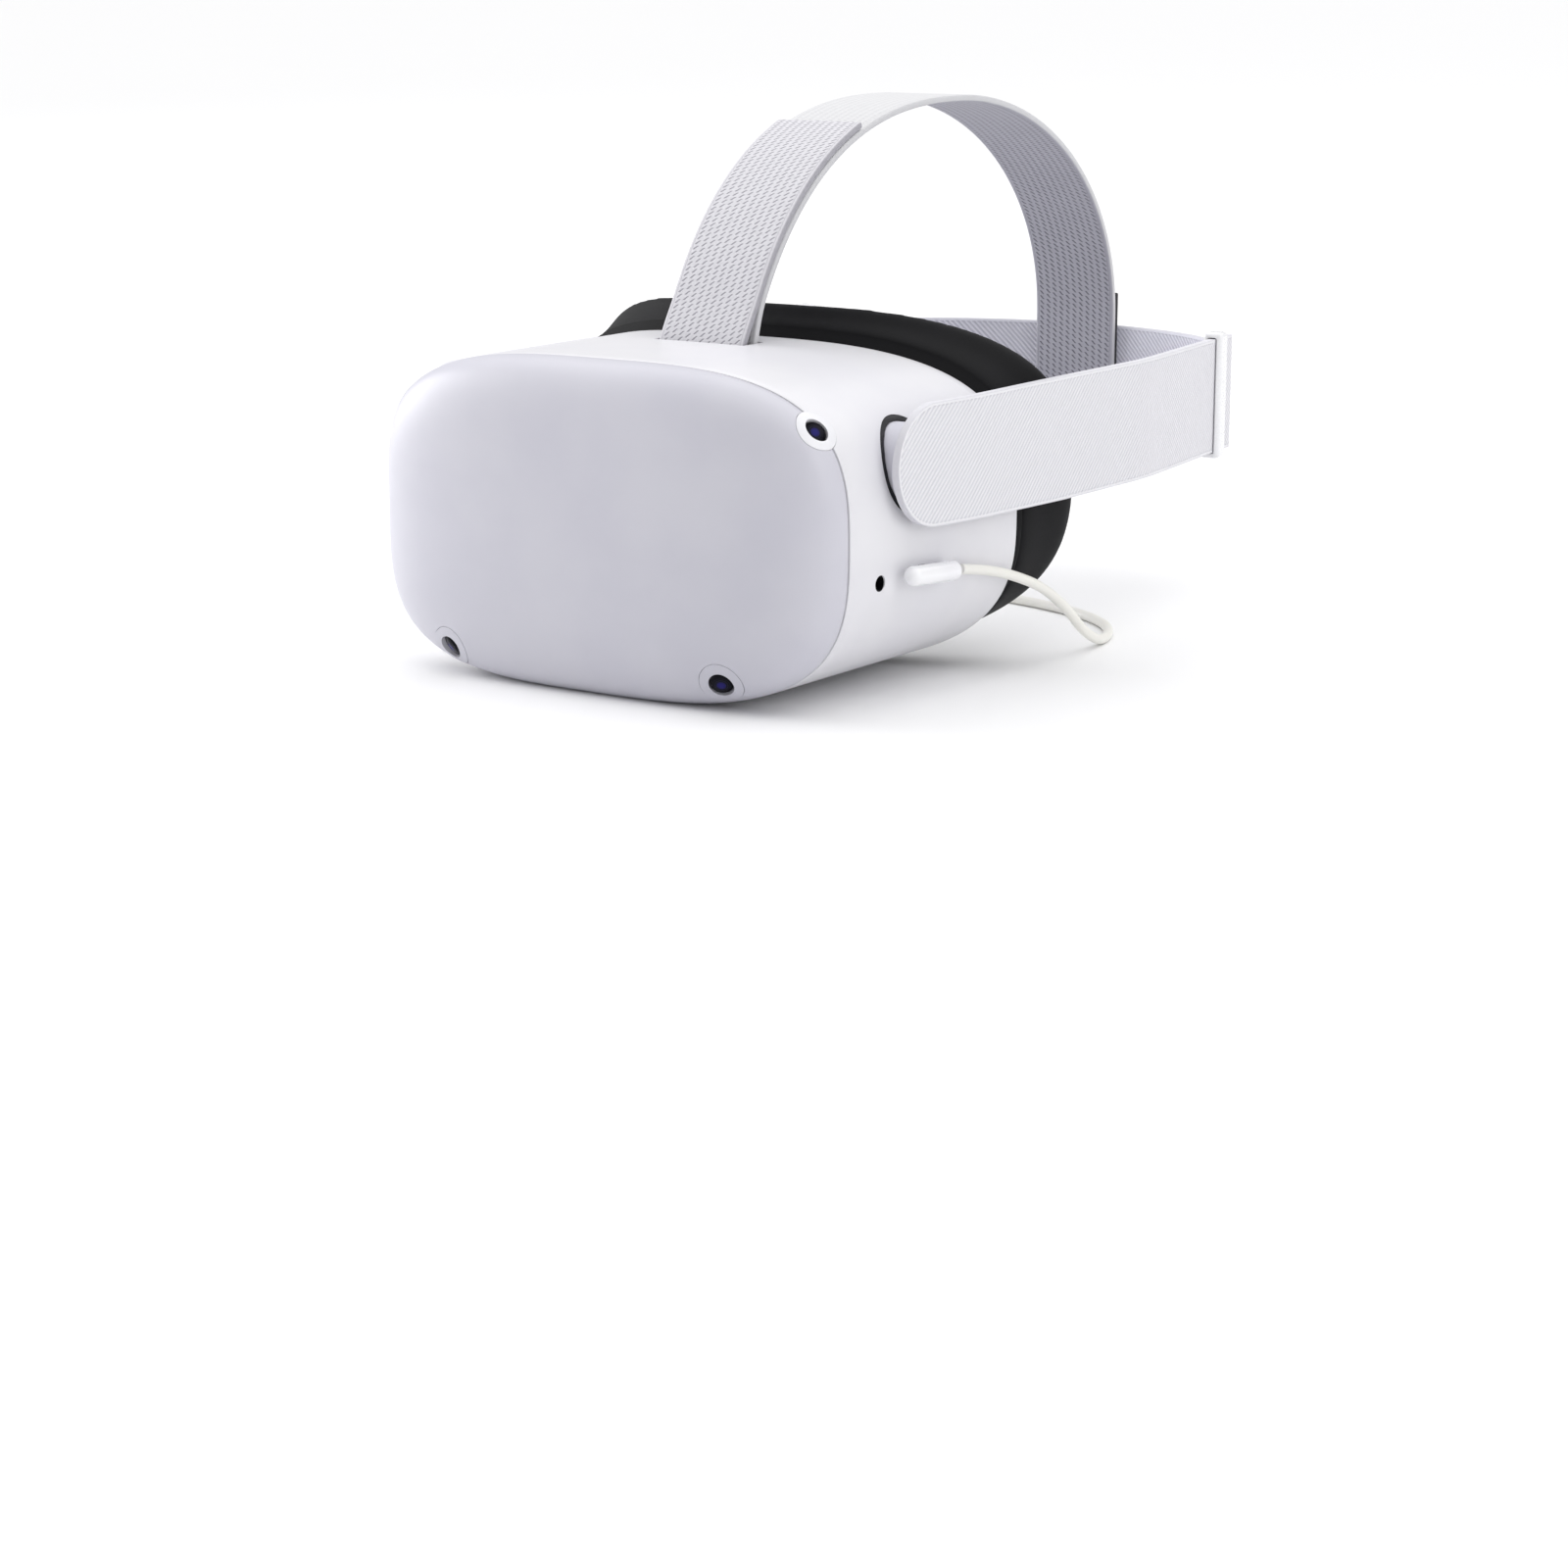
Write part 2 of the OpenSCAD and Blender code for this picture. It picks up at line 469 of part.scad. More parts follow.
// Middle line of the top strap in the y-z plane, from under the anchor bar to the rear strap
loop_r = bar_r + 0.35 + top_strap_t / 2;
bar = crown(strap_front, foot_deg, -1);
function eased(t) = let (x = min(max(t, 0), 1)) x * x * (3 - 2 * x);
function inward(d) = let (t = crown(strap_front, d + 1, -1) - crown(strap_front, d - 1, -1)) [t[1], -t[0]] / norm(t);
function layer(d, side) = crown(strap_front, d, -1)
    + side * lerp(loop_r, layer_off, eased((d - foot_deg) / spread_deg)) * inward(d);
function hook(a) = bar + loop_r * [cos(a), sin(a)];
function top_line() = concat([for (a = [-90 - lean:18:-18 - lean]) hook(a)],
    [for (d = [foot_deg:3:88]) layer(d, 1)],
    [for (d = [90:-5:0]) crown(strap_rear, d, 1)], [[crest_y + strap_rear[0], strap_foot_z]]);
function tail_line() = concat([for (a = [-106 - lean:-15:-166 - lean]) hook(a)],
    [for (d = [foot_deg:2.75:tail_end_deg]) layer(d, -1)]);
module top_strap() color([0.85, 0.85, 0.87]) slab_x(-top_strap_w / 2, top_strap_w / 2)
    polygon(band(top_line(), top_strap_t));
module strap_tail() color([0.8, 0.8, 0.84]) slab_x(-top_strap_w / 2, top_strap_w / 2)
    polygon(band(tail_line(), top_strap_t));
module top_anchor() color([0.9, 0.9, 0.92]) {
    along_x(-top_strap_w / 2 - 3, top_strap_w / 2 + 3, bar_r, bar);
    both() slab_x(top_strap_w / 2 + 0.6, top_strap_w / 2 + 3.4) translate([bar[0], 0])
        rounded([-lug_y, bar[1] + lug_z[0]], [lug_y, bar[1] + lug_z[1]], 1.2);
}
module rear_keeper() color([0.08, 0.08, 0.09]) box([-8, crest_y + strap_rear[0] + top_strap_t / 2 + gap, 60],
    [8, crest_y + strap_rear[0] + top_strap_t / 2 + 1.1, 90]);

// ---- charging cord ----
module charge_plug() color([0.93, 0.92, 0.9]) translate(port) rotate([-plug_tilt, 0, 0]) {
    slab_x(-7.6, plug_out) rounded([-4.1, -1], [4.1, 1], 0.95);
    translate([plug_out, plug_ends[0] + plug_r, 0]) sphere(plug_r);
    along_y(plug_ends[0] + plug_r, plug_ends[1], plug_r, [plug_out, 0]);
    along_y(plug_ends[1], plug_ends[1] + plug_neck, cord_d / 2 + 0.7, [plug_out, 0]);
}
// Smooth line through the cord's way points
function cord_point(p, i, t) = let (a = p[max(i - 1, 0)], b = p[i], c = p[i + 1], d = p[min(i + 2, len(p) - 1)])
    0.5 * (2 * b + (c - a) * t + (2 * a - 5 * b + 4 * c - d) * t * t + (3 * b - a - 3 * c + d) * t * t * t);
function cord_line(p) = concat([for (i = [0:len(p) - 2]) for (t = [0:0.2:0.99]) cord_point(p, i, t)], [p[len(p) - 1]]);
function unit(v) = v / norm(v);
function cord_ring(p, i) = let (d = unit(p[min(i + 1, len(p) - 1)] - p[max(i - 1, 0)]), s = unit(cross(d, [0, 0, 1])),
    u = cross(s, d)) [for (k = [0:7]) p[i] + cord_d / 2 * (cos(45 * k) * s + sin(45 * k) * u)];
module cord_tube(p) {
    n = len(p);
    polyhedron([for (i = [0:n - 1]) each cord_ring(p, i)], concat(
        [for (i = [0:n - 2]) each quad_faces(i, i + 1, 8)], [[for (k = [0:7]) k]], [[for (k = [7:-1:0]) (n - 1) * 8 + k]]));
}
module charge_cord() color([0.93, 0.92, 0.9]) cord_tube(cord_line(cord_way));
module charge_coil() color([0.93, 0.92, 0.9]) translate([coil[0], coil[1], 0]) rotate_extrude()
    rounded([turn_r[0] - cord_d / 2 - gap, 0], [turn_r[2] + cord_d / 2 + gap, 2 * cord_d + gap], 1.4);
module charge_far_plug() color([0.93, 0.92, 0.9]) translate([far_plug_at[0], far_plug_at[1], 0]) {
    linear_extrude(far_plug[2]) rounded([-far_plug[0] / 2, 0], [far_plug[0] / 2, far_plug[1]], 2.4);
    translate([0, 0, far_plug[2] / 2 - 1.2]) linear_extrude(2.4)
        rounded([0.1 - far_plug[0] / 2, far_plug[1] - 3], [far_plug[0] / 2 - 0.1, far_plug[1] + far_tip], 1);
    along_y(-far_neck, 1, cord_d / 2 + 0.6, [0, far_plug[2] / 2]);
    along_y(-2 * far_neck, -far_neck, cord_d / 2, [0, far_plug[2] / 2]);
}

front_cover();
main_housing();
rear_frame();
screws();
proximity_sensor();
left_upper_bezel();
right_upper_bezel();
left_lower_bezel();
right_lower_bezel();
left_upper_camera();
right_upper_camera();
left_lower_camera();
right_lower_camera();
left_upper_camera_lens();
right_upper_camera_lens();
left_lower_camera_lens();
right_lower_camera_lens();
display_panel();
main_board();
heat_spreader();
battery();
fan_housing();
fan_rotor();
left_speaker();
right_speaker();
usb_port();
audio_jack();
power_button();
volume_rocker();
left_lens_barrel();
right_lens_barrel();
left_lens();
right_lens();
lens_rails();
interface_frame();
face_cushion();
nose_flap();
left_arm();
right_arm();
left_arm_well();
right_arm_well();
left_pivot_pin();
right_pivot_pin();
left_side_strap();
right_side_strap();
rear_strap();
left_slider();
right_slider();
top_strap();
strap_tail();
top_anchor();
rear_keeper();
charge_plug();
charge_cord();
charge_coil();
charge_far_plug();
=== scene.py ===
"""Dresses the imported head-worn viewer: finer skins, woven straps, foam cushion, cord and finishes.

Sizes in the classes are in millimetres. MM turns them into metres where a mesh is placed. The front
of the visor faces -Y, +X is the wearer's left and +Z is up.
"""
import logging
import math
from contextlib import contextmanager
from dataclasses import dataclass, field, replace
from enum import Enum
from typing import Callable, Iterable, Iterator, NamedTuple, Protocol, Sequence, TypeVar

import bmesh
import bpy
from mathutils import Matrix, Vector


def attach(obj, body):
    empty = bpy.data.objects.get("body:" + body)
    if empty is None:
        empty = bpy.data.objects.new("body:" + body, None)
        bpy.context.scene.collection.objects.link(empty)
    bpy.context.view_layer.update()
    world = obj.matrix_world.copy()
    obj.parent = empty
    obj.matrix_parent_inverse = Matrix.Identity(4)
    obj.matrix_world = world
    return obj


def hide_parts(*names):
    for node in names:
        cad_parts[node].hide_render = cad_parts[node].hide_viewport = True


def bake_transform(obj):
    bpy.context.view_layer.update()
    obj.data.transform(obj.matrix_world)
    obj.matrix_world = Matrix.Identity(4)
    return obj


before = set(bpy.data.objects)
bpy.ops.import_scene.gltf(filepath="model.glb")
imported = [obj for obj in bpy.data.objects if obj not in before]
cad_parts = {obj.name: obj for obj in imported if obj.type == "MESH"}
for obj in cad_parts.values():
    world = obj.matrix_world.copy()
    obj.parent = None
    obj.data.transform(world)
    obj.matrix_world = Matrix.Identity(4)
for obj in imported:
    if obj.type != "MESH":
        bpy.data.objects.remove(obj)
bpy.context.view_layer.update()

MM = 0.001
FULL_TURN = 360
LOG = logging.getLogger("viewer")

Point = tuple[float, float, float]
Spot = tuple[float, float]
Colour = tuple[float, float, float]
Item = TypeVar("Item")

SIDES = (("left", 1), ("right", -1))
WEAVE_MAP = "weave"
INNER_FACE = "inner_face"
CREASE = 38
TOUCH = 1e-5


# ---- sums ----
def ease(share: float) -> float:
    """A share that starts and ends gently."""
    return share * share * (3 - 2 * share)


def neighbours(items: Sequence[Item], i: int) -> tuple[Item, Item, Item, Item]:
    """The items from the one before i to the second one after it, held at the ends."""
    return items[max(i - 1, 0)], items[i], items[i + 1], items[min(i + 2, len(items) - 1)]


def through(before: Item, start: Item, end: Item, after: Item, share: float) -> Item:
    """A value on the smooth line through four values.

    Args:
        before: The value before the stretch.
        start: The value where the stretch starts.
        end: The value where it ends.
        after: The value after it.
        share: How far along the stretch.

    Returns:
        The value there.
    """
    return 0.5 * (2 * start + (end - before) * share
                  + (2 * before - 5 * start + 4 * end - after) * share * share
                  + (3 * start - before - 3 * end + after) * share ** 3)


# ---- shaders ----
class Wire:
    """A value socket that can be used in arithmetic: each operator adds its Math node."""

    def __init__(self, recipe: "Recipe", socket: bpy.types.NodeSocket) -> None:
        """Keeps the socket and the recipe whose tree it lives in."""
        self.recipe = recipe
        self.socket = socket

    def math(self, operation: str, *others: "Wire | float", swap: bool = False) -> "Wire":
        """Adds one Math node.

        Args:
            operation: The Math node's operation.
            others: The values or wires after this one.
            swap: Whether this wire is the second input.

        Returns:
            The wire out of the node.
        """
        values = [self, *others]
        if swap:
            values.reverse()
        return self.recipe.node("ShaderNodeMath", {"operation": operation}, dict(enumerate(values)))

    def __add__(self, other: "Wire | float") -> "Wire":
        """Sum."""
        return self.math("ADD", other)

    __radd__ = __add__

    def __mul__(self, other: "Wire | float") -> "Wire":
        """Product."""
        return self.math("MULTIPLY", other)

    __rmul__ = __mul__

    def __sub__(self, other: "Wire | float") -> "Wire":
        """Difference."""
        return self.math("SUBTRACT", other)

    def __rsub__(self, other: "Wire | float") -> "Wire":
        """Difference from a value."""
        return self.math("SUBTRACT", other, swap=True)

    def __truediv__(self, other: "Wire | float") -> "Wire":
        """Quotient."""
        return self.math("DIVIDE", other)

    def __pow__(self, other: "Wire | float") -> "Wire":
        """Power."""
        return self.math("POWER", other)

    def wave(self) -> "Wire":
        """A sine of whole turns, from 0 to 1."""
        return self.recipe.multiply_add((self * math.tau).math("SINE"), 0.5, 0.5)

    def ramp(self, low: float, high: float) -> "Wire":
        """A smooth step from 0 at low to 1 at high."""
        return self.recipe.node("ShaderNodeMapRange", {"interpolation_type": "SMOOTHSTEP"},
                                {"Value": self, "From Min": low, "From Max": high})


class Recipe:
    """Builds the node tree of one finish."""

    def __init__(self, name: str) -> None:
        """Starts a material with a Principled shader."""
        self.material = bpy.data.materials.new(name)
        self.material.use_nodes = True
        self.tree = self.material.node_tree
        self.shader = self.tree.nodes["Principled BSDF"]

    def node(self, kind: str, settings: dict[str, object], sockets: dict[object, object],
             output: int | str = 0) -> Wire:
        """Adds one node.

        Args:
            kind: The node's type.
            settings: Its settings, which are made before its sockets are filled.
            sockets: Values or wires, by input name or index.
            output: The output that is wanted.

        Returns:
            The wire out of the node.
        """
        made = self.tree.nodes.new(kind)
        for key, value in settings.items():
            if key == "stops":
                ramp = made.color_ramp
                while len(ramp.elements) < len(value):
                    ramp.elements.new(0.5)
                for element, (place, colour) in zip(ramp.elements, value):
                    element.position, element.color = place, (*colour, 1)
            else:
                setattr(made, key, value)
        for key, value in sockets.items():
            self.fill(made.inputs[key], value)
        return Wire(self, made.outputs[output])

    def fill(self, socket: bpy.types.NodeSocket, value: object) -> None:
        """Links a wire to a socket or sets the socket's own value."""
        if isinstance(value, Wire):
            self.tree.links.new(value.socket, socket)
        elif isinstance(value, tuple) and socket.type == "RGBA":
            socket.default_value = (*value, 1)
        else:
            socket.default_value = value

    def multiply_add(self, wire: Wire, factor: float, offset: float) -> Wire:
        """Scales a wire and shifts it."""
        return wire.math("MULTIPLY_ADD", factor, offset)

    def shade(self, **sockets: object) -> None:
        """Fills sockets of the Principled shader, named with underscores for spaces."""
        for key, value in sockets.items():
            self.fill(self.shader.inputs[key.replace("_", " ")], value)

    def mix(self, factor: Wire | float, first: object, second: object) -> Wire:
        """Mixes two colours by a factor."""
        made = self.tree.nodes.new("ShaderNodeMix")
        made.data_type = "RGBA"
        for place, value in ((0, factor), (6, first), (7, second)):
            self.fill(made.inputs[place], value)
        return Wire(self, made.outputs[2])

    def vector(self, operation: str, first: object, second: object) -> Wire:
        """Adds a Vector Math node that gives a vector."""
        return self.node("ShaderNodeVectorMath", {"operation": operation}, {0: first, 1: second})

    def length(self, wire: Wire) -> Wire:
        """The length of a vector."""
        return self.node("ShaderNodeVectorMath", {"operation": "LENGTH"}, {0: wire}, "Value")

    def place(self) -> Wire:
        """Object coordinates, in metres."""
        return self.node("ShaderNodeTexCoord", {}, {}, "Object")

    def noise(self, scale: float, detail: float = 2, where: Wire | None = None) -> Wire:
        """Noise over the piece, from about 0.3 to 0.7."""
        sockets = {"Vector": where or self.place(), "Scale": scale, "Detail": detail}
        return self.node("ShaderNodeTexNoise", {}, sockets, "Fac")

    def bump(self, height: Wire, depth: float, strength: float = 1.0) -> Wire:
        """Turns a height into a normal.

        Args:
            height: The height, from 0 to 1.
            depth: What a height of 1 stands for, in metres.
            strength: The share of it that shows.

        Returns:
            The bumped normal.
        """
        return self.node("ShaderNodeBump", {}, {"Height": height, "Distance": depth, "Strength": strength})


class Finish(Protocol):
    """What every finish has: a name, and a way to build its material."""

    @property
    def name(self) -> str:
        """The material's name."""

    def material(self) -> bpy.types.Material:
        """Builds the finish."""


@dataclass(frozen=True)
class Plastic:
    """A moulded plastic with a fine grain and faint unevenness."""

    name: str
    colour: Colour
    roughness: float = 0.4
    tint: Colour = (0.8, 0.8, 0.86)
    unevenness: float = 0.25
    grain: float = 2600
    grain_depth: float = 0.00003
    coat: float = 0.0
    shine: float = 0.5

    def material(self) -> bpy.types.Material:
        """Builds the finish."""
        recipe = Recipe(self.name)
        cloud = recipe.noise(28, 3)
        grain = recipe.noise(self.grain, 1)
        recipe.shade(
            Base_Color=recipe.mix(cloud.ramp(0.35, 0.7) * self.unevenness, self.colour,
                                  tuple(c * t for c, t in zip(self.colour, self.tint))),
            Roughness=(cloud * 0.1) + (grain * 0.08) + (self.roughness - 0.09),
            Normal=recipe.bump(grain, self.grain_depth, 0.5),
            Coat_Weight=self.coat, Coat_Roughness=0.12, Specular_IOR_Level=self.shine)
        return recipe.material


@dataclass(frozen=True)
class Foam:
    """A moulded foam pad with a close smooth skin."""

    name: str
    colour: Colour
    worn: Colour
    roughness: float = 0.62
    pores: float = 1900

    def material(self) -> bpy.types.Material:
        """Builds the finish."""
        recipe = Recipe(self.name)
        pores = recipe.node("ShaderNodeTexVoronoi", {"feature": "F1"},
                            {"Vector": recipe.place(), "Scale": self.pores}, "Distance")
        soft = recipe.noise(42, 4)
        recipe.shade(
            Base_Color=recipe.mix(soft.ramp(0.4, 0.7) * 0.6, self.colour, self.worn),
            Roughness=(soft * 0.12) + (self.roughness - 0.06),
            Normal=recipe.bump((pores * 0.6) + (soft * 0.4), 0.00006, 0.5),
            Sheen_Weight=0.02, Sheen_Roughness=0.5, Specular_IOR_Level=0.12)
        return recipe.material


class Weave(Enum):
    """How a strap is woven."""

    TWILL = "diagonal twill"
    COLUMNS = "columns of slanted dashes"


@dataclass(frozen=True)
class Webbing:
    """Woven elastic whose pattern follows the strap: u runs along it and v across it, in metres.

    Attributes:
        name: The material's name.
        weave: How it is woven.
        colour: The colour of the threads on top.
        shadow: The colour between them.
        half_width: Half the strap's width.
        back: The colour on the side that faces the head, where it differs: painted shade for that side.
        back_shadow: The colour between the threads there.
        selvedge: The width of the smooth edge.
        round_end: The length of the rounded end, or 0 where the end is square.
        taper: How much narrower the strap starts, and the length over which it widens.
        depth: The depth of the weave.
        roughness: The roughness of the threads.
        twill: The pitch of the twill's lines.
        column: The width of a column of dashes.
        dash_pitch: The pitch of the dashes in a column.
        dash_shift: The shift from one column to the next, as a share of the pitch.
        dash_slant: How far a dash leans, as a share of the column.
    """

    name: str
    weave: Weave
    colour: Colour
    shadow: Colour
    half_width: float
    back: Colour | None = None
    back_shadow: Colour | None = None
    selvedge: float = 0.0009
    round_end: float = 0.0
    taper: tuple[float, float] = (0.0, 1.0)
    depth: float = 0.00018
    roughness: float = 0.72
    twill: float = 0.0019
    column: float = 0.00253
    dash_pitch: float = 0.00175
    dash_shift: float = 0.35
    dash_slant: float = 0.65

    def height(self, along: Wire, across: Wire) -> Wire:
        """The height of the threads, from 0 to 1."""
        if self.weave is Weave.TWILL:
            return (along / self.twill - across / self.twill).wave()
        column = across / self.column + 0.5
        aside = column.math("FRACT") - 0.5
        step = along / self.dash_pitch + column.math("FLOOR") * self.dash_shift
        ahead = step.math("FRACT") - 0.5
        dash = 1 - (aside - ahead * self.dash_slant).math("ABSOLUTE").ramp(0.04, 0.22)
        dash = dash * (1 - ahead.math("ABSOLUTE").ramp(0.27, 0.46))
        return 0.95 - dash * 0.8 - (step + aside).wave() * 0.15

    def border(self, along: Wire, across: Wire) -> Wire:
        """The distance from the strap's edge, also round its rounded end."""
        past = (self.round_end - along).math("MAXIMUM", 0.0)
        reach = (past * past + across * across) ** 0.5
        narrower, length = self.taper
        return self.half_width - (1 - along / length).math("MAXIMUM", 0.0) * narrower - reach

    def material(self) -> bpy.types.Material:
        """Builds the finish."""
        recipe = Recipe(self.name)
        split = recipe.tree.nodes.new("ShaderNodeSeparateXYZ")
        recipe.fill(split.inputs[0], recipe.node("ShaderNodeUVMap", {"uv_map": WEAVE_MAP}, {}))
        along, across = Wire(recipe, split.outputs[0]), Wire(recipe, split.outputs[1])
        border = self.border(along, across)
        edge = 1 - border.ramp(self.selvedge * 0.8, self.selvedge * 1.1)
        groove = (border.ramp(self.selvedge * 0.9, self.selvedge * 1.2)
                  * (1 - border.ramp(self.selvedge * 1.2, self.selvedge * 1.7)))
        height = self.height(along, across) * (1 - edge) + edge * 0.9 - groove * 0.35
        fuzz = recipe.noise(900, 2)
        face = recipe.mix(height.ramp(0.1, 0.85), self.shadow, self.colour)
        # painted shade: faces marked as the head's side take the back colours
        if self.back:
            inside = recipe.node("ShaderNodeAttribute", {"attribute_name": INNER_FACE}, {}, "Fac")
            back = recipe.mix(height.ramp(0.1, 0.85), self.back_shadow, self.back)
            face = recipe.mix(inside, face, back)
        # painted shade: within half a millimetre of the strap's edge the colour runs to the shadow colour, for
        # its rolled edge
        rim = 1 - border.ramp(0.0, 0.0005)
        recipe.shade(
            Base_Color=recipe.mix(fuzz.ramp(0.35, 0.75) * 0.1 + rim * 0.75, face, self.shadow),
            Roughness=self.roughness + fuzz * 0.15,
            Normal=recipe.bump(height + fuzz * 0.15, self.depth, 0.8),
            Sheen_Weight=0.1, Sheen_Roughness=0.4)
        return recipe.material


@dataclass(frozen=True)
class Metal:
    """Turned or brushed metal."""

    name: str
    colour: Colour
    roughness: float = 0.3
    stretch: float = 30

    def material(self) -> bpy.types.Material:
        """Builds the finish."""
        recipe = Recipe(self.name)
        stretched = recipe.node("ShaderNodeMapping", {},
                                {"Vector": recipe.place(), "Scale": (1, self.stretch, self.stretch)})
        lines = recipe.noise(160, 2, stretched)
        recipe.shade(Base_Color=self.colour, Metallic=1.0,
                     Roughness=(lines * 0.15) + (self.roughness - 0.07),
                     Normal=recipe.bump(lines, 0.00001, 0.4))
        return recipe.material


@dataclass(frozen=True)
class CameraGlass:
    """Black coated camera glass whose iris rings show, with a violet glint painted into the colour of its
    centre.
    """

    name: str
    centre: Point
    axis: tuple[float, float]
    radius: float = 3.4

    def material(self) -> bpy.types.Material:
        """Builds the finish."""
        recipe = Recipe(self.name)
        azimuth, elevation = (math.radians(a) for a in self.axis)
        look = (math.cos(elevation) * math.cos(azimuth), math.cos(elevation) * math.sin(azimuth),
                math.sin(elevation))
        from_centre = recipe.vector("SUBTRACT", recipe.place(), tuple(c * MM for c in self.centre))
        reach = recipe.length(recipe.vector("CROSS_PRODUCT", from_centre, look)) / (self.radius * MM)
        iris = (reach * 6).wave()
        # painted reflection: the violet glint is painted as colour into the middle of the glass
        painted_glint = 1 - reach.ramp(0.2, 0.5)
        hue = recipe.mix(painted_glint, (0.006, 0.006, 0.009), (0.02, 0.016, 0.16))
        rings = iris.ramp(0.75, 1) * (1 - reach.ramp(0.5, 0.9))
        recipe.shade(Base_Color=recipe.mix(rings, hue, (0.03, 0.03, 0.05)),
                     Roughness=reach.ramp(0.6, 1) * 0.25 + 0.08, Specular_IOR_Level=0.05)
        return recipe.material


@dataclass(frozen=True)
class ClearLens:
    """A moulded lens with fine stepped rings."""

    name: str
    centre: Spot
    pitch: float = 0.0006

    def material(self) -> bpy.types.Material:
        """Builds the finish."""
        recipe = Recipe(self.name)
        x, z = self.centre
        from_centre = recipe.vector("SUBTRACT", recipe.place(), (x * MM, 0.0, z * MM))
        flat = recipe.vector("MULTIPLY", from_centre, (1.0, 0.0, 1.0))
        steps = (recipe.length(flat) / self.pitch).math("FRACT")
        recipe.shade(Base_Color=(0.75, 0.8, 0.86), Roughness=steps * 0.05 + 0.03,
                     Normal=recipe.bump(steps, 0.00004, 0.3), Transmission_Weight=0.85, IOR=1.49)
        return recipe.material


@dataclass(frozen=True)
class Board:
    """A printed board with copper traces under a green mask."""

    name: str
    colour: Colour = (0.02, 0.16, 0.07)
    trace: Colour = (0.05, 0.3, 0.14)

    def material(self) -> bpy.types.Material:
        """Builds the finish."""
        recipe = Recipe(self.name)
        traces = recipe.node("ShaderNodeTexBrick", {}, {"Vector": recipe.place(), "Scale": 220.0}, "Fac")
        recipe.shade(Base_Color=recipe.mix(traces, self.colour, self.trace),
                     Roughness=traces * 0.1 + 0.35)
        return recipe.material


@dataclass(frozen=True)
class FloorPaint:
    """A pale matt paint with a faint cloud in it."""

    name: str = "floor_paint"
    colour: Colour = (0.9, 0.9, 0.905)
    cloud: Colour = (0.86, 0.86, 0.87)

    def material(self) -> bpy.types.Material:
        """Builds the finish."""
        recipe = Recipe(self.name)
        recipe.shade(Base_Color=recipe.mix(recipe.noise(3, 2) * 0.1, self.colour, self.cloud), Roughness=0.7)
        return recipe.material


# painted shade: the cover's white is set darker than the housing's, for the shade on its front
COVER = Plastic("cover_white", (0.575, 0.57, 0.63), roughness=0.42, grain_depth=0.00004)
SHELL = Plastic("housing_white", (0.74, 0.735, 0.765), roughness=0.36)
BEZEL = Plastic("bezel_grey", (0.78, 0.78, 0.81), roughness=0.35)
ARM = Plastic("arm_grey", (0.66, 0.655, 0.72), roughness=0.4)
SLIDER = Plastic("slider_white", (0.86, 0.86, 0.875), roughness=0.28, coat=0.2)
CORD = Plastic("cord_white", (0.84, 0.83, 0.78), roughness=0.38, grain=1400)
PLUG = Plastic("plug_white", (0.88, 0.88, 0.9), roughness=0.25, coat=0.3)
DARK = Plastic("dark_plastic", (0.014, 0.014, 0.017), roughness=0.5, tint=(1.6, 1.6, 1.6),
               shine=0.3)
# painted shade: near-black for the strip that darkens the seam's gap
PAINTED_SEAM_SHADE = Plastic("gasket_grey", (0.03, 0.03, 0.035), roughness=0.7, shine=0.2)
JACK = Plastic("socket_black", (0.004, 0.004, 0.005), roughness=0.6, shine=0.1)
KEEPER = Plastic("keeper_black", (0.015, 0.015, 0.018), roughness=0.55, tint=(1.8, 1.8, 1.8))
CAMERA_BODY = Plastic("camera_black", (0.006, 0.006, 0.008), roughness=0.4, tint=(1.8, 1.8, 1.8),
                      shine=0.2)
PANEL = Plastic("panel_black", (0.012, 0.012, 0.02), roughness=0.12, grain_depth=0.000005)
WRAP = Plastic("battery_wrap", (0.05, 0.05, 0.06), roughness=0.3)
INTERFACE = Plastic("interface_black", (0.006, 0.006, 0.007), roughness=0.7, tint=(1.5, 1.5, 1.5),
                    shine=0.12)
RUBBER = Plastic("nose_rubber", (0.02, 0.02, 0.023), roughness=0.68, tint=(1.5, 1.5, 1.5))
CUSHION = Foam("cushion_foam", (0.006, 0.006, 0.007), (0.01, 0.01, 0.012))
STEEL = Metal("steel", (0.6, 0.6, 0.62))
SPREADER = Metal("spreader_metal", (0.72, 0.72, 0.74), 0.42)
# painted shade: the back colours of these webbings stand for the shade on the side that faces the head
SIDE_WEB = Webbing("strap_white", Weave.TWILL, (0.78, 0.775, 0.805), (0.62, 0.615, 0.66), 0.0181,
                   (0.6, 0.595, 0.65), (0.42, 0.415, 0.47),
                   round_end=0.01705, taper=(0.001, 0.086))
REAR_WEB = Webbing("rear_web", Weave.TWILL, (0.72, 0.715, 0.76), (0.55, 0.545, 0.6), 0.015,
                   (0.72, 0.715, 0.8), (0.5, 0.495, 0.58))
TAIL_WEB = Webbing("tail_web", Weave.COLUMNS, (0.66, 0.65, 0.69), (0.3, 0.295, 0.33), 0.015)
TOP_WEB = Webbing("top_web", Weave.COLUMNS, (0.66, 0.66, 0.675), (0.58, 0.58, 0.6), 0.015,
                  (0.4, 0.395, 0.46), (0.15, 0.147, 0.18))


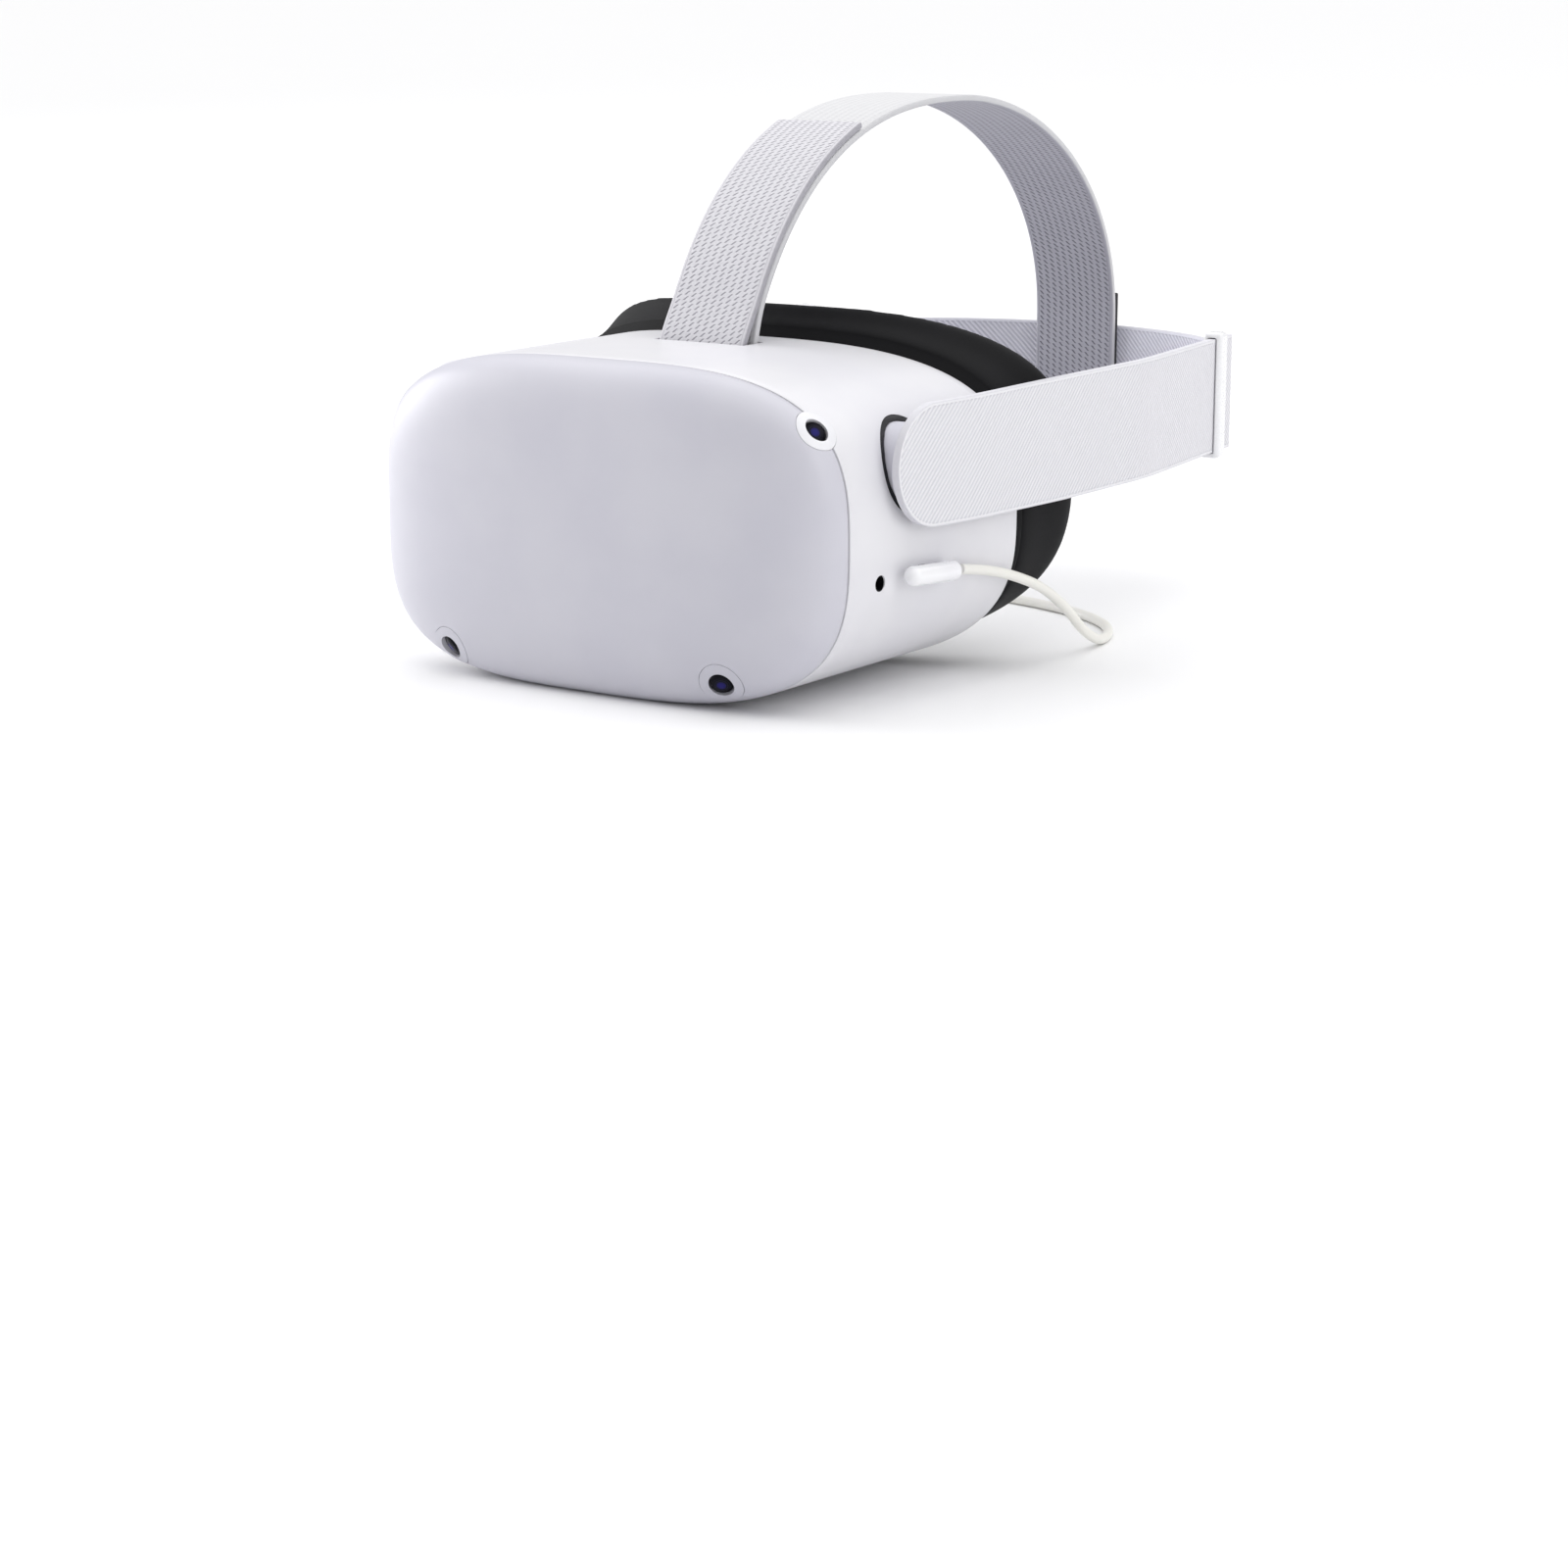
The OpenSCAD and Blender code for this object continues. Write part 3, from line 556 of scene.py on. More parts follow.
# ---- modelling ----
@contextmanager
def editing(piece: bpy.types.Object) -> Iterator[bmesh.types.BMesh]:
    """Opens a piece in edit mode and closes it again.

    Args:
        piece: The piece to edit.

    Returns:
        Its edit mesh, with nothing selected.
    """
    choose(piece)
    bpy.ops.object.mode_set(mode="EDIT")
    bpy.ops.mesh.select_all(action="DESELECT")
    yield bmesh.from_edit_mesh(piece.data)
    bmesh.update_edit_mesh(piece.data)
    bpy.ops.object.mode_set(mode="OBJECT")


def deselect() -> None:
    """Deselects every object."""
    bpy.ops.object.select_all(action="DESELECT")


def choose(piece: bpy.types.Object) -> None:
    """Selects one piece alone and makes it active."""
    deselect()
    piece.select_set(True)
    bpy.context.view_layer.objects.active = piece


def named(name: str) -> bpy.types.Object:
    """Names the piece that was just added, and its mesh."""
    piece = bpy.context.active_object
    piece.name = piece.data.name = name
    return piece


def settle(piece: bpy.types.Object) -> bpy.types.Object:
    """Applies the piece's place, turn and scale to its mesh."""
    choose(piece)
    bpy.ops.object.transform_apply(location=True, rotation=True, scale=True)
    return piece


def modify(piece: bpy.types.Object, kind: str, **settings: object) -> None:
    """Adds a modifier to a piece, sets it and applies it."""
    choose(piece)
    bpy.ops.object.modifier_add(type=kind)
    modifier = piece.modifiers[-1]
    for key, value in settings.items():
        setattr(modifier, key, value)
    bpy.ops.object.modifier_apply(modifier=modifier.name)


def smooth(piece: bpy.types.Object, angle: float = 32) -> bpy.types.Object:
    """Shades a piece smooth up to an angle, in degrees."""
    choose(piece)
    bpy.ops.object.shade_smooth_by_angle(angle=math.radians(angle))
    return piece


def cut(piece: bpy.types.Object, cutter: bpy.types.Object) -> None:
    """Takes a cutter's space out of a piece and throws the cutter away."""
    modify(piece, "BOOLEAN", operation="DIFFERENCE", solver="EXACT", object=cutter)
    bpy.data.objects.remove(cutter)


def join(piece: bpy.types.Object, *others: bpy.types.Object) -> None:
    """Makes other pieces part of a piece."""
    choose(piece)
    for other in others:
        other.select_set(True)
    bpy.ops.object.join()


def recalculated(piece: bpy.types.Object) -> bpy.types.Object:
    """Merges doubles and turns every face outwards."""
    with editing(piece):
        bpy.ops.mesh.select_all(action="SELECT")
        bpy.ops.mesh.remove_doubles(threshold=TOUCH)
        bpy.ops.mesh.normals_make_consistent(inside=False)
    return piece


def rod(name: str, start: Point, end: Point, radius: float, sides: int = 48) -> bpy.types.Object:
    """A round bar from one point to another, in millimetres."""
    a, b = Vector(start) * MM, Vector(end) * MM
    turn = (b - a).to_track_quat("Z", "Y").to_euler()
    deselect()
    bpy.ops.mesh.primitive_cylinder_add(vertices=sides, radius=radius * MM, depth=(b - a).length,
                                        location=(a + b) / 2, rotation=turn)
    return settle(named(name))


def corners(centre: Point, size: Point) -> tuple[Point, Point]:
    """The lowest and highest corner of a box, from its centre and size."""
    half = Vector(size) / 2
    return tuple(Vector(centre) - half), tuple(Vector(centre) + half)


def block(name: str, low: Point, high: Point, bevel: float = 0, steps: int = 4,
          axis: int | None = None) -> bpy.types.Object:
    """A box with rounded edges.

    Args:
        name: The piece's name.
        low: Its lowest corner, in millimetres.
        high: Its highest corner.
        bevel: The radius of its edges.
        steps: The segments in each rounding.
        axis: The one axis whose edges are rounded, or None for all of them.

    Returns:
        The piece.
    """
    a, b = Vector(low) * MM, Vector(high) * MM
    deselect()
    bpy.ops.mesh.primitive_cube_add(size=1, location=(a + b) / 2, scale=b - a)
    piece = settle(named(name))
    if bevel:
        with editing(piece) as mesh:
            for edge in mesh.edges:
                run = (edge.verts[1].co - edge.verts[0].co).normalized()
                edge.select_set(axis is None or abs(run[axis]) > 0.9)
            bpy.ops.mesh.bevel(offset=bevel * MM, segments=steps, affect="EDGES")
    return piece


@dataclass(frozen=True)
class Ring:
    """A rounded outline across the visor: its sides and its top sweep back by their own amounts.

    Attributes:
        half_w: Half its width.
        half_h: Half its height.
        mid_z: The height of its centre.
        y: Where it is along Y at its centre.
        side_sweep: How much further back its sides are.
        top_sweep: How much further back its top and bottom are.
        power: How square it is: 2 is an ellipse.
    """

    half_w: float
    half_h: float
    mid_z: float
    y: float
    side_sweep: float
    top_sweep: float
    power: float

    def point(self, degrees: float, share: float = 1, dy: float = 0) -> Vector:
        """A point of the outline, in metres.

        Args:
            degrees: Where on the outline, from +X towards +Z.
            share: The share of the outline's reach.
            dy: A shift along Y, in millimetres.

        Returns:
            The point.
        """
        angle = math.radians(degrees)
        c, s = (share * math.copysign(abs(v) ** (2 / self.power), v)
                for v in (math.cos(angle), math.sin(angle)))
        swept = self.y + dy + self.side_sweep * c * c + self.top_sweep * s * s
        return Vector((self.half_w * c, swept, max(self.mid_z + self.half_h * s, 0))) * MM

    def values(self) -> list[float]:
        """The numbers of the ring, in order."""
        return [self.half_w, self.half_h, self.mid_z, self.y, self.side_sweep, self.top_sweep, self.power]

    def towards(self, other: "Ring", share: float) -> "Ring":
        """A ring between this one and another."""
        return Ring(*(a + (b - a) * share for a, b in zip(self.values(), other.values())))

    def drawn_in(self, by: float, dy: float = 0) -> "Ring":
        """A ring smaller by a distance all round and shifted along Y."""
        return replace(self, half_w=self.half_w - by, half_h=self.half_h - by, y=self.y + dy)

    def above_floor(self, thicker: float) -> "Ring":
        """The same ring with its lower side lifted twice as far, for a thicker floor."""
        return replace(self, half_h=self.half_h - thicker, mid_z=self.mid_z + thicker)


class Skin:
    """A skin drawn ring by ring: a rim that is placed, extruded and placed again."""

    def __init__(self, name: str, sides: int) -> None:
        """Starts the rim as a flat circle with the given number of sides."""
        deselect()
        bpy.ops.mesh.primitive_circle_add(vertices=sides, radius=MM)
        self.piece = named(name)
        self.sides = sides
        self.started = False
        bpy.ops.object.mode_set(mode="EDIT")
        mesh = bmesh.from_edit_mesh(self.piece.data)
        mesh.verts.ensure_lookup_table()
        station = mesh.verts.layers.int.new("station")
        for i, vert in enumerate(mesh.verts):
            vert[station] = i
        bmesh.update_edit_mesh(self.piece.data)
        bpy.ops.mesh.select_all(action="SELECT")

    def ring(self, points: Sequence[Vector]) -> None:
        """Extrudes the rim, except the first time, and places it on the points."""
        if self.started:
            bpy.ops.mesh.extrude_region_move()
        self.started = True
        mesh = bmesh.from_edit_mesh(self.piece.data)
        station = mesh.verts.layers.int["station"]
        for vert in mesh.verts:
            if vert.select:
                vert.co = points[vert[station]]
        bmesh.update_edit_mesh(self.piece.data)

    def outline(self, ring: Ring, share: float = 1, dy: float = 0) -> None:
        """Places the next rim on a ring."""
        self.ring([ring.point(FULL_TURN * i / self.sides, share, dy) for i in range(self.sides)])

    def gather(self) -> None:
        """Pulls the last rim into one point."""
        bpy.ops.mesh.merge(type="CENTER")

    def done(self) -> bpy.types.Object:
        """Leaves edit mode, welds what meets and turns the faces outwards."""
        bpy.ops.object.mode_set(mode="OBJECT")
        self.piece.data.attributes.remove(self.piece.data.attributes["station"])
        return recalculated(self.piece)


def dress(piece: bpy.types.Object, finish: bpy.types.Material) -> bpy.types.Object:
    """Gives a piece one finish all over."""
    piece.data.materials.clear()
    piece.data.materials.append(finish)
    return piece


@dataclass
class Finishes:
    """Makes each finish once and hands it out again."""

    made: dict[str, bpy.types.Material] = field(default_factory=dict)

    def of(self, finish: Finish) -> bpy.types.Material:
        """The material of a finish."""
        if finish.name not in self.made:
            self.made[finish.name] = finish.material()
        return self.made[finish.name]


FINISHES = Finishes()


def declare(piece: bpy.types.Object, body: str | None, slot: str, *nodes: str) -> bpy.types.Object:
    """Hides the CAD nodes that a piece stands for, hangs the piece on the body that it moves with and logs it.

    Args:
        piece: The finished piece.
        body: The body that it moves with, or None for a piece between two bodies, which is hung on neither.
        slot: The material slot that it is logged with.
        nodes: The CAD nodes that it stands for.

    Returns:
        The piece.
    """
    if nodes:
        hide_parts(*nodes)
    if body:
        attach(piece, body)
    LOG.info("%s: on %s, slot %s", piece.name, body or "two bodies", slot)
    return piece


def hand_over(piece: bpy.types.Object, finish: Finish, body: str | None, slot: str,
              *nodes: str) -> bpy.types.Object:
    return declare(dress(piece, FINISHES.of(finish)), body, slot, *nodes)


# ---- camera, light and floor ----
@dataclass
class Studio:
    """A pale floor, soft light and the camera."""

    eye: Point = (0.58252, -0.80849, 0.20729)
    look: Point = (-0.54336, 0.80548, -0.23658)
    lens_mm: float = 79.54
    floor_size: float = 120.0
    sky: float = 0.42
    sun: float = 2.25
    sun_tilt: float = -12
    sun_spread: float = 100
    aim: Point = (0, 0.05, 0.06)
    lamp_size: float = 1.3
    lamps: tuple[tuple[str, Point, float], ...] = (
        ("left_box", (-2.2, -0.3, 0.7), 40), ("right_box", (2.2, -0.1, 0.9), 12))

    def camera(self) -> None:
        """Places the camera."""
        data = bpy.data.cameras.new("camera")
        data.lens, data.sensor_width, data.clip_start = self.lens_mm, 36, 0.01
        camera = bpy.data.objects.new("camera", data)
        bpy.context.scene.collection.objects.link(camera)
        camera.location = self.eye
        camera.rotation_euler = Vector(self.look).to_track_quat("-Z", "Y").to_euler()
        bpy.context.scene.camera = camera

    def lamp(self, name: str, place: Point, watts: float) -> None:
        """Adds a square soft light that looks at the visor."""
        deselect()
        bpy.ops.object.light_add(type="AREA", location=place)
        lamp = bpy.context.active_object
        lamp.name = name
        lamp.data.size, lamp.data.energy = self.lamp_size, watts
        lamp.rotation_euler = (Vector(self.aim) - Vector(place)).to_track_quat("-Z", "Y").to_euler()

    def build(self) -> None:
        """Builds the room."""
        self.camera()
        scene = bpy.context.scene
        scene.view_settings.view_transform = "Standard"
        scene.world = scene.world or bpy.data.worlds.new("sky")
        scene.world.use_nodes = True
        sky = scene.world.node_tree.nodes["Background"]
        sky.inputs["Color"].default_value = (1, 1, 1, 1)
        sky.inputs["Strength"].default_value = self.sky
        deselect()
        bpy.ops.mesh.primitive_plane_add(size=self.floor_size)
        dress(named("floor"), FINISHES.of(FloorPaint()))
        for lamp in self.lamps:
            self.lamp(*lamp)
        deselect()
        bpy.ops.object.light_add(type="SUN", location=(0, 0, 3), rotation=(math.radians(self.sun_tilt), 0, 0))
        sun = bpy.context.active_object
        sun.name, sun.data.energy, sun.data.angle = "ceiling", self.sun, math.radians(self.sun_spread)


# ---- charging cord ----
@dataclass
class ChargingCord:
    """The cord, its two plugs and its coil.

    Attributes:
        diameter: The cord's thickness.
        way: Its free stretch, from the plug to the coil.
        coil: The coil's centre, from above.
        turns: The radius and the height of each turn.
        free_steps: The points of the line in each stretch of its way.
        steps_per_turn: The points in each turn.
        step_over: The points over which one turn steps over to the next.
        end_steps: The points from the coil to the far plug.
        port: The charging port.
        plug_r: The radius of the near plug.
        plug_out: How far its axis stands off the port.
        plug_ends: Where it starts and ends along Y, from the port.
        plug_neck: The length of its tail.
        plug_tails: The inset and the rise of each ring of its tail.
        plug_tilt: How far it tips down, in degrees.
        tongue: The size of the piece that goes into the port.
        far_at: Where the far plug starts, from above.
        far_size: Its size.
        far_tip: How far its metal tip stands out.
        far_neck: The length of its tail.
    """

    diameter: float = 3.0
    way: tuple[Point, ...] = (
        (84.8, 18.4, 35), (86, 31, 32.9), (87, 45, 29.2), (87.4, 60, 23.6), (87.8, 73, 16), (87.8, 85, 7),
        (86.6, 97, 2), (83, 109, 1.5), (75, 121, 1.5), (62, 131, 1.5), (46, 138, 1.5), (28, 142.5, 1.5),
        (8, 144.6, 1.5), (-6, 145.2, 1.5), (-18, 145.1, 1.5))
    coil: Spot = (-30, 166)
    turns: tuple[Spot, ...] = ((21, 1.5), (18, 1.5), (15, 1.5), (15, 4.5), (18, 4.5), (21, 4.5), (21, 7.5))
    free_steps: int = 6
    steps_per_turn: int = 48
    step_over: int = 10
    end_steps: int = 8
    port: Point = (80, 1.5, 36.1)
    plug_r: float = 2.85
    plug_out: float = 4.8
    plug_ends: tuple[float, float] = (-10.6, 12.9)
    plug_neck: float = 4.5
    plug_tails: tuple[Spot, ...] = ((0.5, 0.6), (0.55, 0.25))
    plug_tilt: float = 4
    tongue: Point = (12.4, 8.2, 2)
    far_at: Spot = (-51, 192)
    far_size: Point = (8, 24, 6.4)
    far_tip: float = 6.6
    far_neck: float = 8

    def centreline(self) -> list[Vector]:
        """The cord's own line, from the plug round the coil to the far plug, in millimetres."""
        x, y = self.coil
        (outer, low), steps = self.turns[0], self.free_steps
        free = [Vector(p) for p in self.way] + [Vector((x, y - outer, low))]
        line = [through(*neighbours(free, i), j / steps) for i in range(len(free) - 1) for j in range(steps)]
        per_turn = self.steps_per_turn
        for i in range(per_turn * (len(self.turns) - 1) + per_turn // 4 + 1):
            turn, step = divmod(i, per_turn)
            radius, height = self.turns[turn]
            left = per_turn - step
            if left < self.step_over and turn + 1 < len(self.turns):
                share = ease(1 - left / self.step_over)
                radius += (self.turns[turn + 1][0] - radius) * share
                height += (self.turns[turn + 1][1] - height) * share
            angle = math.radians(-90 - FULL_TURN * i / per_turn)
            line.append(Vector((x + radius * math.cos(angle), y + radius * math.sin(angle), height)))
        end_y, end_z = self.far_at[1] - self.far_neck, self.far_size[2] / 2
        last = line[-1]
        for j in range(1, self.end_steps + 1):
            share = j / self.end_steps
            line.append(Vector((last.x, last.y + (end_y - last.y) * share,
                                last.z + (end_z - last.z) * ease(share))))
        return line

    def cable(self) -> tuple[bpy.types.Object, float]:
        """Lays the cable as one round curve.

        Returns:
            The curve and its length in metres.
        """
        line = [p * MM for p in self.centreline()]
        data = bpy.data.curves.new("charging_cable", "CURVE")
        data.dimensions, data.bevel_depth, data.bevel_resolution = "3D", self.diameter * MM / 2, 5
        data.use_fill_caps = True
        spline = data.splines.new("POLY")
        spline.points.add(len(line) - 1)
        for point, place in zip(spline.points, line):
            point.co = (*place, 1)
        spline.use_smooth = True
        cable = bpy.data.objects.new("charging_cable", data)
        bpy.context.scene.collection.objects.link(cable)
        return cable, sum((b - a).length for a, b in zip(line, line[1:]))

    def barrel(self, name: str, start: float, end: float, radius: float) -> bpy.types.Object:
        """The rounded barrel of the plug, along Y, with a recessed tail that tapers to the cable.

        Args:
            name: The piece's name.
            start: Where it starts along Y, in millimetres.
            end: Where its tail starts.
            radius: Its radius.

        Returns:
            The piece.
        """
        piece = rod(name, (self.plug_out, start, 0), (self.plug_out, end, 0), radius)
        with editing(piece) as mesh:
            for edge in mesh.edges:
                edge.select_set(all(abs(v.co.y - start * MM) < TOUCH for v in edge.verts))
            bpy.ops.mesh.bevel(offset=radius * MM * 0.93, segments=9, affect="EDGES")
        with editing(piece) as mesh:
            for face in mesh.faces:
                face.select_set(all(abs(v.co.y - end * MM) < TOUCH for v in face.verts))
            for inset, rise in self.plug_tails:
                bpy.ops.mesh.inset(thickness=inset * MM)
                bpy.ops.transform.translate(value=(0, rise * MM, 0))
            neck = {"value": (0, self.plug_neck * MM * 0.8, 0)}
            bpy.ops.mesh.extrude_region_move(TRANSFORM_OT_translate=neck)
            share = (self.diameter / 2 + 0.18) / (radius - sum(inset for inset, _ in self.plug_tails))
            bpy.ops.transform.resize(value=(share, 1, share))
        return piece

    def near_plug(self) -> bpy.types.Object:
        """The plug in the visor's side."""
        piece = self.barrel("charging_plug", *self.plug_ends, self.plug_r)
        place = (self.plug_out - self.tongue[0] / 2, 0, 0)
        join(piece, block("tongue", *corners(place, self.tongue), 0.9, 5, axis=0))
        piece.rotation_euler = (math.radians(-self.plug_tilt), 0, 0)
        piece.location = Vector(self.port) * MM
        return smooth(settle(piece), 40)

    def far_plug(self) -> bpy.types.Object:
        """The plug that lies beside the coil."""
        width, length, height = self.far_size
        x, y = self.far_at
        piece = block("far_plug", (x - width / 2, y, 0), (x + width / 2, y + length, height), 2.3, 6, axis=1)
        with editing(piece) as mesh:
            for face in mesh.faces:
                face.select_set(all(v.co.y < (y + 0.01) * MM for v in face.verts))
            bpy.ops.mesh.bevel(offset=0.7 * MM, segments=3, affect="EDGES")
        tip = block("tip", (x - width / 2 + 0.1, y + length - 3, height / 2 - 1.2),
                    (x + width / 2 - 0.1, y + length + self.far_tip, height / 2 + 1.2), 1.15, 5, axis=1)
        hollow = block("hollow", (x - width / 2 + 0.6, y + length + 0.8, height / 2 - 0.75),
                       (x + width / 2 - 0.6, y + length + self.far_tip + 1, height / 2 + 0.75), 0.7, 4, axis=1)
        cut(tip, hollow)
        dress(tip, FINISHES.of(STEEL))
        neck = rod("neck", (x, y - self.far_neck, height / 2), (x, y + 1, height / 2), 2.1, 32)
        with editing(neck) as mesh:
            for vert in mesh.verts:
                vert.select_set(vert.co.y < (y - self.far_neck + 0.01) * MM)
            mesh.select_flush(True)
            bpy.ops.transform.resize(value=(0.78, 1, 0.78))
        for part in (piece, neck):
            dress(part, FINISHES.of(PLUG))
        join(piece, tip, neck)
        return smooth(piece, 40)

    def build(self) -> None:
        cable, length = self.cable()
        plug, far = self.near_plug(), self.far_plug()
        hand_over(plug, PLUG, "visor", "cord_white", "charge_plug")
        declare(far, "visor", "cord_white", "charge_far_plug")
        hand_over(cable, CORD, "visor", "cord_white", "charge_cord", "charge_coil")
        tuple(c * MM for c in self.way[0])
        LOG.info("charging cable: %.3f m", length)


# ---- visor ----
SEAM = Ring(78.8, 47.4, 46.8, -31.8, 1.5, -4.2, 3.26)
RIM = Ring(83.9, 47.4, 47.0, 34.5, 17.0, -1.0, 3.08)


@dataclass
class CameraSpot:
    """Where a tracking camera sits on the wearer's left: centre, azimuth and elevation."""

    name: str
    centre: Point
    azimuth: float
    elevation: float

    def along(self, distance: float, side: int) -> Point:
        """A point on the camera's axis, in millimetres, on the left (1) or the right (-1)."""
        a, e = math.radians(self.azimuth), math.radians(self.elevation)
        x, y, z = self.centre
        return (side * (x + distance * math.cos(e) * math.cos(a)), y + distance * math.cos(e) * math.sin(a),
                z + distance * math.sin(e))


CAMERAS = (CameraSpot("upper", (69.8, -33.4, 78.6), -30, 35), CameraSpot("lower", (47.8, -46.6, 8.4), -64, -33))


@dataclass
class VisorShell:
    """Front cover, housing, a near-black strip of painted shade in their seam, the lining and the camera
    bezels.

    Attributes:
        sides: The points round each ring of the skins.
        depth: How far the cover bulges out.
        bulge: How square the bulge is.
        wall: The thickness of the walls.
        floor_extra: How much thicker the housing's floor is.
        seam_gap: The gap between cover and housing.
        steps: The rings along the housing.
        cap_steps: The rings over the cover.
        camera_run: Where a camera's opening starts and ends along its axis.
        bezel_r: The radius of a bezel.
        bezel_bore: The radius of its bore.
        pivot: Y and Z of the strap's pivot.
        well_r: The radius of the wells round the pivots.
        well_run: The wells' bottom and a plane past the housing's side.
        side_run: The same for the smaller openings in the side.
        socket: Y and Z of the audio socket.
        socket_r: Its radius.
        port: The charging port.
        port_size: The size of its opening.
        strap_slot: The lowest and highest corner of the top strap's slot.
        button: Y and Z of the power button.
        button_r: Its radius.
        rocker: X and Y of the volume rocker.
        rocker_size: The size of its opening.
        lining_shares: Where the lining's rings lie between the seam and the rim.
    """

    sides: int = 224
    depth: float = 20.4
    bulge: float = 2.79
    wall: float = 2.2
    floor_extra: float = 0.4
    seam_gap: float = 0.75
    steps: int = 22
    cap_steps: int = 34
    camera_run: Spot = (-9, 14)
    bezel_r: float = 6.4
    bezel_bore: float = 3.7
    pivot: Spot = (1, 66.2)
    well_r: float = 13.4
    well_run: Spot = (62, 96)
    side_run: Spot = (70, 96)
    socket: Spot = (-15.4, 35.4)
    socket_r: float = 2.3
    port: Point = (80, 1.5, 36.1)
    port_size: Point = (16, 10.4, 4)
    strap_slot: tuple[Point, Point] = ((-15.9, 10.6, 80), (15.9, 21.1, 100))
    button: Spot = (5, 30)
    button_r: float = 4.3
    rocker: Spot = (36, 4)
    rocker_size: Spot = (17, 6)
    lining_shares: tuple[float, ...] = (0.62, 0.8, 0.985)

    def cap_shift(self, share: float, depth: float) -> float:
        """How far ahead of the seam the cover is, at a share of its reach."""
        return -depth * (1 - min(share, 1) ** self.bulge) ** (1 / self.bulge)

    def camera_cutters(self) -> Iterable[bpy.types.Object]:
        """Rods that open the skin for the four cameras."""
        for spot in CAMERAS:
            for side in (1, -1):
                inner, outer = (spot.along(reach, side) for reach in self.camera_run)
                yield rod("opening", inner, outer, self.bezel_r + 0.12, 72)

    def cover(self) -> bpy.types.Object:
        """The bulged front cover with its wall."""
        skin = Skin("front_cover_skin", self.sides)
        shares = self.shares()
        inner = SEAM.drawn_in(self.wall)
        for share in reversed(shares[1:]):
            skin.outline(inner, share, self.cap_shift(share, self.depth - self.wall))
        skin.outline(inner)
        skin.outline(SEAM.drawn_in(0.55))
        skin.outline(SEAM.drawn_in(0.16, -0.12))
        skin.outline(SEAM, 1, -0.45)
        for share in shares[1:]:
            skin.outline(SEAM, share, self.cap_shift(share, self.depth))
        skin.gather()
        cover = skin.done()
        for cutter in self.camera_cutters():
            cut(cover, cutter)
        return smooth(cover, CREASE)

    def wall_ring(self, share: float, by: float = 0, dy: float = 0) -> Ring:
        """A ring of the housing's wall.

        Args:
            share: Where between the seam and the rim.
            by: How far it is drawn in from the outside, in millimetres.
            dy: A shift along Y.

        Returns:
            The ring.
        """
        return SEAM.towards(RIM, share).drawn_in(by, self.seam_gap * (1 - share) + dy)

    def housing_skin(self) -> bpy.types.Object:
        """The housing's wall, with its rounded edges."""
        skin = Skin("main_housing_skin", self.sides)
        skin.outline(self.wall_ring(0, self.wall))
        skin.outline(self.wall_ring(0, 0.55))
        skin.outline(self.wall_ring(0, 0.16, 0.12))
        skin.outline(self.wall_ring(0, 0, 0.45))
        for i in range(1, self.steps):
            skin.outline(self.wall_ring(i / self.steps))
        skin.outline(self.wall_ring(1, 0, -0.7))
        skin.outline(self.wall_ring(1, 0.22, -0.2))
        skin.outline(self.wall_ring(1, 0.8))
        skin.outline(self.wall_ring(1, self.wall))
        for i in range(self.steps - 1, 0, -1):
            skin.outline(self.wall_ring(i / self.steps, self.wall).above_floor(self.floor_extra))
        skin.outline(self.wall_ring(0, self.wall))
        return skin.done()

    def strap_mouth(self) -> bpy.types.Object:
        """The cutter of the top strap's slot."""
        return block("strap_mouth", *self.strap_slot, 1.2, 4, axis=2)

    def side_mouth(self, name: str, run: Spot, place: Spot, side: int, radius: float,
                   sides: int) -> bpy.types.Object:
        """The cutter of a round opening in one side.

        Args:
            name: The cutter's name.
            run: Its inner and outer end, as distances from the middle.
            place: Y and Z of its axis.
            side: 1 for the wearer's left and -1 for the right.
            radius: Its radius.
            sides: Its number of sides.

        Returns:
            The cutter.
        """
        near, far = sorted(side * x for x in run)
        return rod(name, (near, *place), (far, *place), radius, sides)

    def housing(self) -> bpy.types.Object:
        """The housing with its openings."""
        housing = self.housing_skin()
        (x, y), (w, h) = self.rocker, self.rocker_size
        for cutter in self.camera_cutters():
            cut(housing, cutter)
        for _, side in SIDES:
            cut(housing, self.side_mouth("well", self.well_run, self.pivot, side, self.well_r + 0.1, 96))
        cut(housing, self.side_mouth("socket_mouth", self.side_run, self.socket, 1, self.socket_r, 40))
        cut(housing, block("port_mouth", *corners(self.port, self.port_size), 1.9, 5, axis=0))
        cut(housing, self.strap_mouth())
        cut(housing, self.side_mouth("button_mouth", self.side_run, self.button, -1, self.button_r, 48))
        cut(housing, block("rocker_mouth", *corners((x, y, 3), (w, h, 10)), 1.5, 4, axis=2))
        return smooth(housing, CREASE)

    def shares(self) -> list[float]:
        """The shares of the seam's reach at which the cover's rings lie, from the seam inwards."""
        steps = self.cap_steps
        shares = [math.sin(math.pi / 2 * (i / steps)) ** 0.9 for i in range(steps, 0, -1)]
        return [1 - (1 - s) * 0.985 if s > 0.9999 else s for s in shares]

